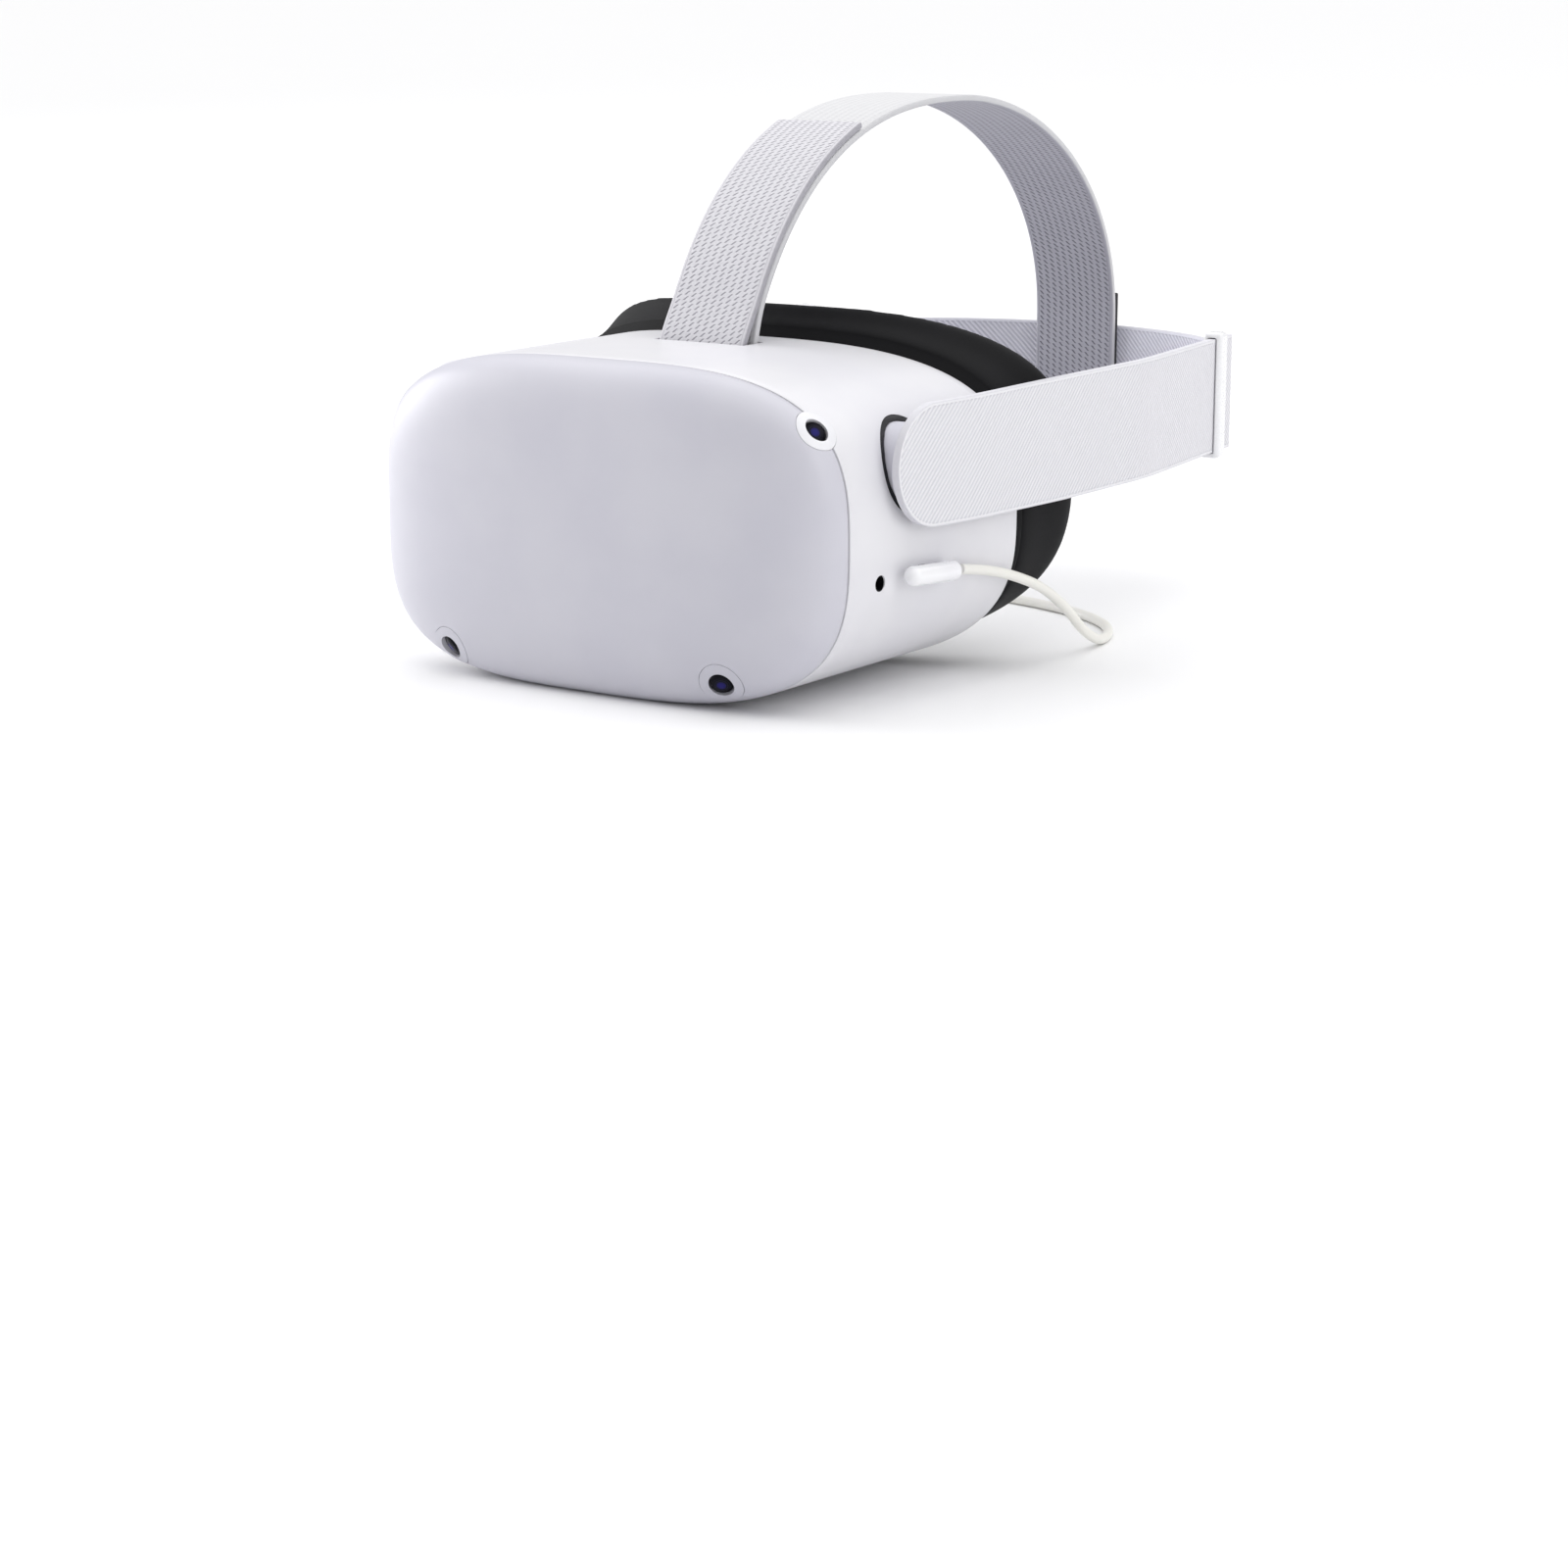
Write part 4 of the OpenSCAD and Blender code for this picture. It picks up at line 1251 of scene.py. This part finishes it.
    def bezels(self) -> None:
        """The four camera bezels: pieces of the skin's own surface, round each lens."""
        skin = Skin("whole_skin", 160)
        for share in (0.5, 0.25, 0):
            skin.outline(SEAM.towards(RIM, share).drawn_in(-0.1))
        for share in self.shares()[1:]:
            skin.outline(SEAM.drawn_in(-0.1), share, self.cap_shift(share, self.depth + 0.1))
        skin.gather()
        whole = skin.done()
        with editing(whole):
            bpy.ops.mesh.select_mode(type="VERT")
            bpy.ops.mesh.select_non_manifold()
            bpy.ops.mesh.edge_face_add()
        for spot, finish in zip(CAMERAS, (BEZEL, COVER)):
            for label, side in SIDES:
                bezel = rod(f"{label}_{spot.name}_bezel_ring", spot.along(-4.5, side), spot.along(6, side),
                            self.bezel_r, 96)
                cut(bezel, rod("bore", spot.along(-9, side), spot.along(9, side), self.bezel_bore, 64))
                modify(bezel, "BOOLEAN", operation="INTERSECT", solver="EXACT", object=whole)
                modify(bezel, "BEVEL", width=0.18 * MM, segments=2, limit_method="ANGLE",
                       angle_limit=math.radians(40))
                hand_over(smooth(recalculated(bezel)), finish, "visor", "bezel_grey",
                          f"{label}_{spot.name}_bezel")
        bpy.data.objects.remove(whole)

    def seam_shade(self) -> bpy.types.Object:
        """A near-black strip just under the seam: painted shade, a dark sheet for the shade in the seam's gap.
        """
        skin = Skin("seam_gasket", self.sides)
        for by, dy in ((1.1, -1.4), (1.1, 2.2), (2.0, 2.2), (2.0, -1.4), (1.1, -1.4)):
            skin.outline(SEAM.drawn_in(by, dy))
        seam_shade = skin.done()
        for cutter in self.camera_cutters():
            cut(seam_shade, cutter)
        return smooth(seam_shade)

    def lining(self) -> bpy.types.Object:
        """The thin dark lining inside the housing, from the wells to the rim."""
        skin = Skin("housing_lining", self.sides)
        outer, inner = self.wall + 0.2, self.wall + 0.4
        shares = self.lining_shares
        for share, by in ([(share, outer) for share in shares] + [(share, inner) for share in reversed(shares)]
                          + [(shares[0], outer)]):
            skin.outline(SEAM.towards(RIM, share).drawn_in(by).above_floor(self.floor_extra))
        lining = skin.done()
        cut(lining, self.strap_mouth())
        return smooth(lining)

    def socket_liner(self) -> bpy.types.Object:
        """The black liner of the audio socket's mouth."""
        liner = self.side_mouth("socket_liner", (76.6, 79.2), self.socket, 1, self.socket_r, 40)
        cut(liner, self.side_mouth("bore", (70, 90), self.socket, 1, self.socket_r - 0.35, 40))
        return smooth(liner)

    def build(self) -> None:
        """Builds the shell."""
        hand_over(self.cover(), COVER, "visor", "cover_white", "front_cover")
        hand_over(self.housing(), SHELL, "visor", "housing_white", "main_housing")
        # painted shade: a dark strip behind the seam's gap
        hand_over(self.seam_shade(), PAINTED_SEAM_SHADE, "visor", "dark_plastic")
        hand_over(self.lining(), INTERFACE, "visor", "dark_plastic")
        self.bezels()
        hand_over(self.socket_liner(), JACK, "visor", "dark_plastic")


@dataclass
class FaceInterface:
    """The dark frame, the foam cushion and the nose flap.

    Attributes:
        sides: The points round each ring.
        back: The rear edge of the frame.
        face: The crest of the cushion, which the face touches.
        pad_w: The width of the cushion's section.
        nose_r: The radius of the room for the nose.
        nose_z: The height of its centre.
        flap_run: Where the nose flap starts and ends along Y.
        flap_t: Its thickness.
        voxel: The size of the cells in which the foam is remeshed.
    """

    sides: int = 200
    back: Ring = Ring(83.0, 48.6, 48.9, 38.7, 17.4, -1.8, 3.04)
    face: Ring = Ring(84.7, 50.2, 53.8, 57.0, 27.5, -12.0, 3.2)
    pad_w: float = 13
    nose_r: float = 19
    nose_z: float = 1
    flap_run: Spot = (35.9, 45.9)
    flap_t: float = 1.1
    voxel: float = 1.1

    def interface(self) -> bpy.types.Object:
        """The frame that clips into the housing."""
        front = RIM.drawn_in(1.2, 0.5)
        skin = Skin("interface_frame_ring", self.sides)
        skin.outline(front)
        for share in (0.3, 0.6, 0.85):
            skin.outline(front.towards(self.back, share))
        skin.outline(self.back.drawn_in(0.1, -0.25))
        skin.outline(self.back.drawn_in(0.5))
        skin.outline(self.back.drawn_in(8))
        skin.outline(front.drawn_in(8))
        skin.outline(front)
        ring = skin.done()
        cut(ring, self.nose_cutter())
        return smooth(ring, CREASE)

    def nose_cutter(self) -> bpy.types.Object:
        """The round bar that leaves room for the nose."""
        return rod("nose_room", (0, -20, self.nose_z), (0, 95, self.nose_z), self.nose_r + 1.4, 96)

    def section(self) -> list[Ring]:
        """The rings round the cushion's section, from its root over the face and back."""
        face, width = self.face, self.pad_w
        root, inner = self.back.drawn_in(0.4, 0.2), face.drawn_in(width)
        outside = [root.drawn_in(0.2), root.towards(face, 0.14).drawn_in(-0.1), root.towards(face, 0.45),
                   root.towards(face.drawn_in(0, -1.5), 0.9)]
        crest = [face.drawn_in(1.6, 0.5), face.drawn_in(4, 1.6), face.drawn_in(width / 2, 1.9),
                 face.drawn_in(width - 3.4, 1.2), face.drawn_in(width - 0.6, -1.2)]
        inside = [root.drawn_in(9).towards(inner, 0.6), root.drawn_in(8.4).towards(inner, 0.2),
                  root.drawn_in(7.6)]
        marks = outside + crest + inside
        between = 4
        rings = [Ring(*(through(*near, j / between)
                        for near in zip(*(ring.values() for ring in neighbours(marks, i)))))
                 for i in range(len(marks) - 1) for j in range(between)]
        return rings + [marks[-1]]

    def cushion(self) -> bpy.types.Object:
        """The foam cushion, with its cut ends at the nose rounded."""
        skin = Skin("face_cushion_pad", self.sides)
        rings = self.section()
        for ring in rings + rings[:1]:
            skin.outline(ring)
        pad = skin.done()
        cut(pad, self.nose_cutter())
        modify(pad, "REMESH", mode="VOXEL", voxel_size=self.voxel * MM)
        modify(pad, "SMOOTH", factor=0.5, iterations=10)
        return smooth(pad, 60)

    def flap(self) -> bpy.types.Object:
        """The thin rubber flap round the nose notch."""
        deselect()
        start, end = self.flap_run
        bpy.ops.mesh.primitive_cylinder_add(vertices=96, radius=(self.nose_r + 0.6) * MM,
                                            depth=(end - start) * MM,
                                            location=(0, (start + end) / 2 * MM, self.nose_z * MM),
                                            rotation=(math.pi / 2, 0, 0), end_fill_type="NOTHING")
        flap = settle(named("nose_flap_sheet"))
        with editing(flap):
            bpy.ops.mesh.select_all(action="SELECT")
            bpy.ops.mesh.bisect(plane_co=(0, 0, 0.9 * MM), plane_no=(0, 0, 1), clear_inner=True)
            bpy.ops.mesh.select_all(action="SELECT")
            bpy.ops.mesh.subdivide(number_cuts=2)
        with editing(flap) as mesh:
            for vert in mesh.verts:
                out = (vert.co.y / MM - start) / (end - start)
                reach = 1 - 0.05 * out * (1 - out) * 4
                vert.co.x *= reach
                vert.co.z = self.nose_z * MM + (vert.co.z - self.nose_z * MM) * reach
        modify(flap, "SOLIDIFY", thickness=self.flap_t * MM, offset=0)
        modify(flap, "BEVEL", width=0.4 * MM, segments=2, limit_method="ANGLE")
        return smooth(flap, 45)

    def build(self) -> None:
        """Builds the face interface."""
        hand_over(self.interface(), INTERFACE, "face_interface", "dark_plastic", "interface_frame")
        pad = hand_over(self.cushion(), CUSHION, "face_interface", "cushion_foam", "face_cushion")
        hand_over(self.flap(), RUBBER, "face_interface", "nose_rubber", "nose_flap")


# ---- straps ----
def mark_inside(piece: bpy.types.Object, inside: Callable[[bpy.types.MeshPolygon], bool]) -> None:
    """Marks the faces of a strap that a test says are on the head's side, where its finish paints shade."""
    mark = piece.data.attributes[INNER_FACE]
    for face in piece.data.polygons:
        value = 1.0 if inside(face) else 0.0
        for loop in face.loop_indices:
            mark.data[loop].value = value


@dataclass
class Strap:
    """A flat woven strap that follows a line.

    The line is a list of points in the strap's own plane, and place() puts a point of that plane and a
    height across the strap into the model.

    Attributes:
        name: The piece's name.
        width: The strap's width.
        thickness: Its thickness.
        line: Its middle line.
        place: Puts a point of the line and a height into the model.
        round_start: The radius of its rounded start, or 0 where it is square.
        slimmer: How much narrower each half is at its start.
        raised: How much higher it is at its start.
        slim_run: The length over which both end.
        pitch: The distance between its cross lines.
        round_steps: The cross lines in the rounded start.
        across: The cells across it.
        edge: The radius of its edges.
    """

    name: str
    width: float
    thickness: float
    line: list[Spot]
    place: Callable[[Spot, float], Vector]
    round_start: float = 0
    slimmer: float = 0
    raised: float = 0
    slim_run: float = 1
    pitch: float = 1.6
    round_steps: int = 14
    across: int = 14
    edge: float = 0.55

    def measured(self) -> list[float]:
        """The distance along the strap to each point of its line."""
        run = [0.0]
        for a, b in zip(self.line, self.line[1:]):
            run.append(run[-1] + math.dist(a, b))
        return run

    def at(self, distance: float, run: list[float]) -> Spot:
        """The point of the line at a distance along it."""
        distance = min(max(distance, 0), run[-1])
        i = next((k for k in range(len(run) - 1) if run[k + 1] >= distance), len(run) - 2)
        t = (distance - run[i]) / max(run[i + 1] - run[i], 1e-9)
        (ax, ay), (bx, by) = self.line[i], self.line[i + 1]
        return (ax + (bx - ax) * t, ay + (by - ay) * t)

    def stations(self, length: float) -> list[float]:
        """Distances of the cross lines, close together in a rounded start."""
        low, steps = self.round_start, self.round_steps if self.round_start else 0
        start = [low * (1 - math.cos(math.pi / 2 * i / steps)) for i in range(steps)]
        count = max(int((length - low) / self.pitch), 2)
        return start + [low + (length - low) * i / count for i in range(count)] + [length]

    def half(self, distance: float) -> float:
        """Half the strap's width at a distance along it."""
        full = self.width / 2 - self.slimmer * self.slimness(distance)
        radius = self.round_start
        if distance < radius:
            rest = max(radius * radius - (radius - distance) ** 2, 0)
            full = min(full, full - radius + math.sqrt(rest))
        return max(full, 0.02)

    def slimness(self, distance: float) -> float:
        """How far the strap is narrowed: 1 at its start and 0 where it is full."""
        return max(1 - distance / self.slim_run, 0)

    def build(self) -> bpy.types.Object:
        """Cuts the strap as a flat sheet, bends it along its line and gives it its thickness."""
        run = self.measured()
        length = run[-1]
        stations = self.stations(length)
        columns, rows = len(stations) - 1, self.across
        deselect()
        bpy.ops.mesh.primitive_grid_add(x_subdivisions=columns, y_subdivisions=rows, size=1)
        strap = named(self.name)
        while strap.data.uv_layers:
            strap.data.uv_layers.remove(strap.data.uv_layers[0])
        weave = strap.data.uv_layers.new(name=WEAVE_MAP)
        flat, lift = [], []
        for vert in strap.data.vertices:
            i = round((vert.co.x + 0.5) * columns)
            j = (vert.co.y + 0.5) * 2 - 1
            flat.append((stations[i], j * self.half(stations[i])))
            lift.append(self.raised * self.slimness(stations[i]))
        for loop in strap.data.loops:
            weave.data[loop.index].uv = tuple(c * MM for c in flat[loop.vertex_index])
        for vert, (along, height), up in zip(strap.data.vertices, flat, lift):
            vert.co = self.place(self.at(along, run), height + up) * MM
        modify(strap, "SOLIDIFY", thickness=self.thickness * MM, offset=0)
        modify(strap, "BEVEL", width=self.edge * MM, segments=3, limit_method="ANGLE",
               angle_limit=math.radians(50))
        self.mark_faces(strap)
        return smooth(strap, 50)

    def mark_faces(self, strap: bpy.types.Object) -> None:
        """Marks the side of the strap that faces the middle of its line, for the painted shade of its finish.
        """
        strap.data.attributes.new(INNER_FACE, "FLOAT", "CORNER")
        centre = sum((self.place(p, 0) for p in self.line), Vector()) / len(self.line) * MM
        mark_inside(strap, lambda face: face.normal.dot((centre - face.center).normalized()) > 0.12)


class Bend(NamedTuple):
    """The bend of a side strap from above: where its arc starts, its radius and its end, in degrees."""

    y: float
    radius: float
    end: float


class Quarter(NamedTuple):
    """A quarter of a rounded curve: its reach, its rise, where it starts and how square it is."""

    reach: float
    rise: float
    start: float
    power: float


@dataclass
class HeadStrap:
    """Side straps, rear strap, sliders and the top strap with its folded tail.

    Attributes:
        side_x: The distance of the side straps' middle from the model's.
        pivot: Y and Z of the pivot.
        side_h: The width of a side strap.
        side_t: Its thickness.
        bend: Its bend behind the visor.
        run_len: Its straight stretch after the bend.
        splay: How steeply its front part leans in.
        splay_y: Where that lean is full and where it ends.
        side_end: Where its front end is, as the centre of its rounding.
        rear_curve: The rear strap from above.
        rear_mid_z: The height of its middle.
        rear_h: Its width.
        rear_t: Its thickness.
        rear_from: The angle at which it starts.
        crest_y: Where the top strap is highest.
        front: Its front part from the side.
        rear: Its rear part from the side.
        foot_z: Where it ends behind the rear strap.
        tail_end: The angle at which its folded tail ends.
        foot: The angle at which it leaves the anchor bar.
        lean: How far the loop round the bar leans.
        layer_off: The distance of each front layer from the middle between them.
        spread: The angle over which the layers come together.
        loop_r: The radius of the loop round the bar.
        top_w: The top strap's width.
        top_t: Its thickness.
        slider_back: The distance of a slider from the side strap's rear end.
        slider_size: A slider's depth and length, and how far it stands past the strap.
        slot_room: The room round the strap in a slider.
        keeper: The lowest and highest corner of the keeper tab.
    """

    side_x: float = 86.75
    pivot: Spot = (1, 66.2)
    side_h: float = 36.2
    side_t: float = 2.3
    bend: Bend = Bend(111.8, 150, 7.5)
    run_len: float = 66
    splay: float = 0.1
    splay_y: Spot = (8, 32)
    side_end: float = 3
    rear_curve: Quarter = Quarter(77, 61.7, 176, 2.1)
    rear_mid_z: float = 64.8
    rear_h: float = 30
    rear_t: float = 2.6
    rear_from: float = 16
    crest_y: float = 130
    front: Quarter = Quarter(125.27, 139.4, 21.5, 2.44)
    rear: Quarter = Quarter(103.6, 76.05, 83.7, 2)
    foot_z: float = 56
    tail_end: float = 68.5
    foot: float = 24.53
    lean: float = 20.7
    layer_off: float = 1.15
    spread: float = 9
    loop_r: float = 2.95
    top_w: float = 30
    top_t: float = 2
    slider_back: float = 12.6
    slider_size: Point = (6.4, 6.8, 2)
    slot_room: float = 0.45
    keeper: tuple[Point, Point] = ((-15.1, 234.75, 64), (15.1, 236, 91))

    def bend_point(self, degrees: float) -> Spot:
        """A point of the side strap's bend, from above."""
        a = math.radians(degrees)
        return (self.side_x - self.bend.radius * (1 - math.cos(a)),
                self.bend.y + self.bend.radius * math.sin(a))

    def straight_point(self, distance: float) -> Spot:
        """A point of the side strap's straight stretch, from above."""
        x, y = self.bend_point(self.bend.end)
        a = math.radians(self.bend.end)
        return (x - distance * math.sin(a), y + distance * math.cos(a))

    def splayed(self, y: float) -> float:
        """How far the side strap's front part leans in towards the visor."""
        low, high = self.splay_y
        over = min(max(high - y, 0), high - low)
        return self.splay * (over * over / 2 / (high - low) + max(low - y, 0))

    def side_line(self) -> list[Spot]:
        """The middle line of the left side strap, from above."""
        start, end = self.side_end - self.side_h / 2 + 1, self.splay_y[1] + 4
        front = [start + (end - start) * i / 24 for i in range(25)]
        return ([(self.side_x - self.splayed(y), y) for y in front]
                + [self.bend_point(self.bend.end * i / 8) for i in range(9)]
                + [self.straight_point(self.run_len)])

    def rear_line(self) -> list[Spot]:
        """The middle line of the rear strap, from above."""
        half_w, depth, y, power = self.rear_curve
        steps = 60
        points = []
        for i in range(steps + 1):
            a = math.radians(self.rear_from + (180 - 2 * self.rear_from) * i / steps)
            points.append((half_w * math.copysign(abs(math.cos(a)) ** (2 / power), math.cos(a)),
                           y + depth * math.sin(a) ** (2 / power)))
        return points

    def crown(self, quarter: Quarter, degrees: float, side: int) -> Spot:
        """A point of the top strap, from the side."""
        reach, rise, z, power = quarter
        a = math.radians(degrees)
        return (self.crest_y + side * reach * max(math.cos(a), 0) ** (2 / power),
                z + rise * math.sin(a) ** (2 / power))

    def hook(self, degrees: float) -> Spot:
        """A point of the loop round the anchor bar, from the side."""
        a = math.radians(degrees - self.lean)
        y, z = self.crown(self.front, self.foot, -1)
        return (y + self.loop_r * math.cos(a), z + self.loop_r * math.sin(a))

    def layer(self, degrees: float, side: int) -> Spot:
        """A point of one of the strap's two front layers, from the side.

        Args:
            degrees: Where on the front curve.
            side: 1 for the layer next to the head and -1 for the folded tail.

        Returns:
            The point.
        """
        y, z = self.crown(self.front, degrees, -1)
        (ay, az), (by, bz) = (self.crown(self.front, degrees + d, -1) for d in (-1, 1))
        size = math.hypot(by - ay, bz - az)
        share = min(max((degrees - self.foot) / self.spread, 0), 1)
        off = side * (self.loop_r + (self.layer_off - self.loop_r) * ease(share)) / size
        return (y + off * (bz - az), z - off * (by - ay))

    def top_line(self) -> list[Spot]:
        """The middle line of the top strap, from under the bar over the crest to the rear strap."""
        return ([self.hook(-90 + 15 * i) for i in range(6)]
                + [self.layer(self.foot + (89 - self.foot) * i / 44, 1) for i in range(45)]
                + [self.crown(self.rear, 90 - 2.5 * i, 1) for i in range(37)]
                + [(self.crest_y + self.rear.reach, self.foot_z)])

    def tail_line(self) -> list[Spot]:
        """The middle line of the folded tail."""
        return ([self.hook(-106 - 12 * i) for i in range(6)]
                + [self.layer(self.foot + (self.tail_end - self.foot) * i / 32, -1) for i in range(33)])

    def slider(self, name: str, side: int) -> bpy.types.Object:
        """A slotted bar that the side strap runs through."""
        depth, length, past = self.slider_size
        room = 2 * self.slot_room
        bar = block(name, *corners((0, 0, 0), (depth, length, self.side_h + 2 * past)), 1.5, 5)
        slot = (self.side_t + room, 12, self.side_h + room)
        cut(bar, block("slot", *corners((0, 0, 0), slot), 0.8, 3, axis=1))
        bar.rotation_euler = (0, 0, math.radians(self.bend.end))
        bar.location = Vector((*self.straight_point(self.run_len - self.slider_back), self.pivot[1])) * MM
        settle(bar)
        if side < 0:
            for vert in bar.data.vertices:
                vert.co.x = -vert.co.x
            recalculated(bar)
        return smooth(bar, 40)

    def build(self) -> None:
        """Builds the straps."""
        z = self.pivot[1]
        for name, side in SIDES:
            strap = Strap(f"{name}_side_webbing", self.side_h, self.side_t, self.side_line(),
                          lambda p, h, s=side: Vector((s * p[0], p[1], z + h)),
                          round_start=self.side_h / 2 - 1.05, slimmer=1, raised=0.65, slim_run=86)
            piece = strap.build()
            # the faces that look inwards get the webbing's painted shade
            mark_inside(piece, lambda face, s=side: face.normal.x * s < -0.5)
            hand_over(piece, SIDE_WEB, "head_strap", "strap_white", f"{name}_side_strap")
            hand_over(self.slider(f"{name}_slider_bar", side), SLIDER, f"{name}_slider", "slider_white",
                      f"{name}_slider")
        rear = Strap("rear_webbing", self.rear_h, self.rear_t, self.rear_line(),
                     lambda p, h: Vector((p[0], p[1], self.rear_mid_z + h)))
        hand_over(rear.build(), REAR_WEB, "head_strap", "strap_grey", "rear_strap")
        tab = smooth(block("keeper_tab", *self.keeper, 0.5, 3), 40)
        hand_over(tab, KEEPER, "head_strap", "keeper_black", "rear_keeper")
        for name, line, web, slot, node in (
                ("top_webbing", self.top_line(), TOP_WEB, "strap_white", "top_strap"),
                ("tail_webbing", self.tail_line(), TAIL_WEB, "strap_grey", "strap_tail")):
            strap = Strap(name, self.top_w, self.top_t, line, lambda p, h: Vector((h, *p)))
            piece = hand_over(strap.build(), web, None, slot, node)
            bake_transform(piece)


# ---- carried-over nodes ----
CARRIED: dict[Finish, tuple[str, ...]] = {
    DARK: ("rear_frame", "left_arm_well", "right_arm_well", "left_speaker", "right_speaker", "fan_housing",
           "fan_rotor", "left_lens_barrel", "right_lens_barrel"),
    JACK: ("audio_jack",),
    CAMERA_BODY: ("left_upper_camera", "right_upper_camera", "left_lower_camera", "right_lower_camera",
                  "proximity_sensor"),
    STEEL: ("screws", "lens_rails", "usb_port", "left_pivot_pin", "right_pivot_pin"),
    PANEL: ("display_panel",),
    WRAP: ("battery",),
    SPREADER: ("heat_spreader",),
    ARM: ("left_arm", "right_arm"),
    SHELL: ("power_button", "volume_rocker", "top_anchor"),
    Board("board_green"): ("main_board",),
    ClearLens("left_lens_clear", (31.5, 46)): ("left_lens",),
    ClearLens("right_lens_clear", (-31.5, 46)): ("right_lens",),
}


def dress_nodes() -> None:
    """Gives every carried-over node its finish."""
    finishes = dict(CARRIED)
    for spot in CAMERAS:
        for name, side in SIDES:
            azimuth = spot.azimuth if side > 0 else 180 - spot.azimuth
            x, y, z = spot.centre
            glass = CameraGlass(f"{name}_{spot.name}_glass", (side * x, y, z), (azimuth, spot.elevation))
            finishes[glass] = (f"{name}_{spot.name}_camera_lens",)
    for finish, nodes in finishes.items():
        for node in nodes:
            dress(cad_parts[node], FINISHES.of(finish))
            LOG.info("%s: finish %s", node, finish.name)


def main() -> None:
    """Builds the room, the cord, the visor, the interface and the straps, in that order."""
    logging.basicConfig(level=logging.INFO, format="%(name)s: %(message)s")
    Studio().build()
    ChargingCord().build()
    VisorShell().build()
    FaceInterface().build()
    HeadStrap().build()
    dress_nodes()


if __name__ == "__main__":
    main()
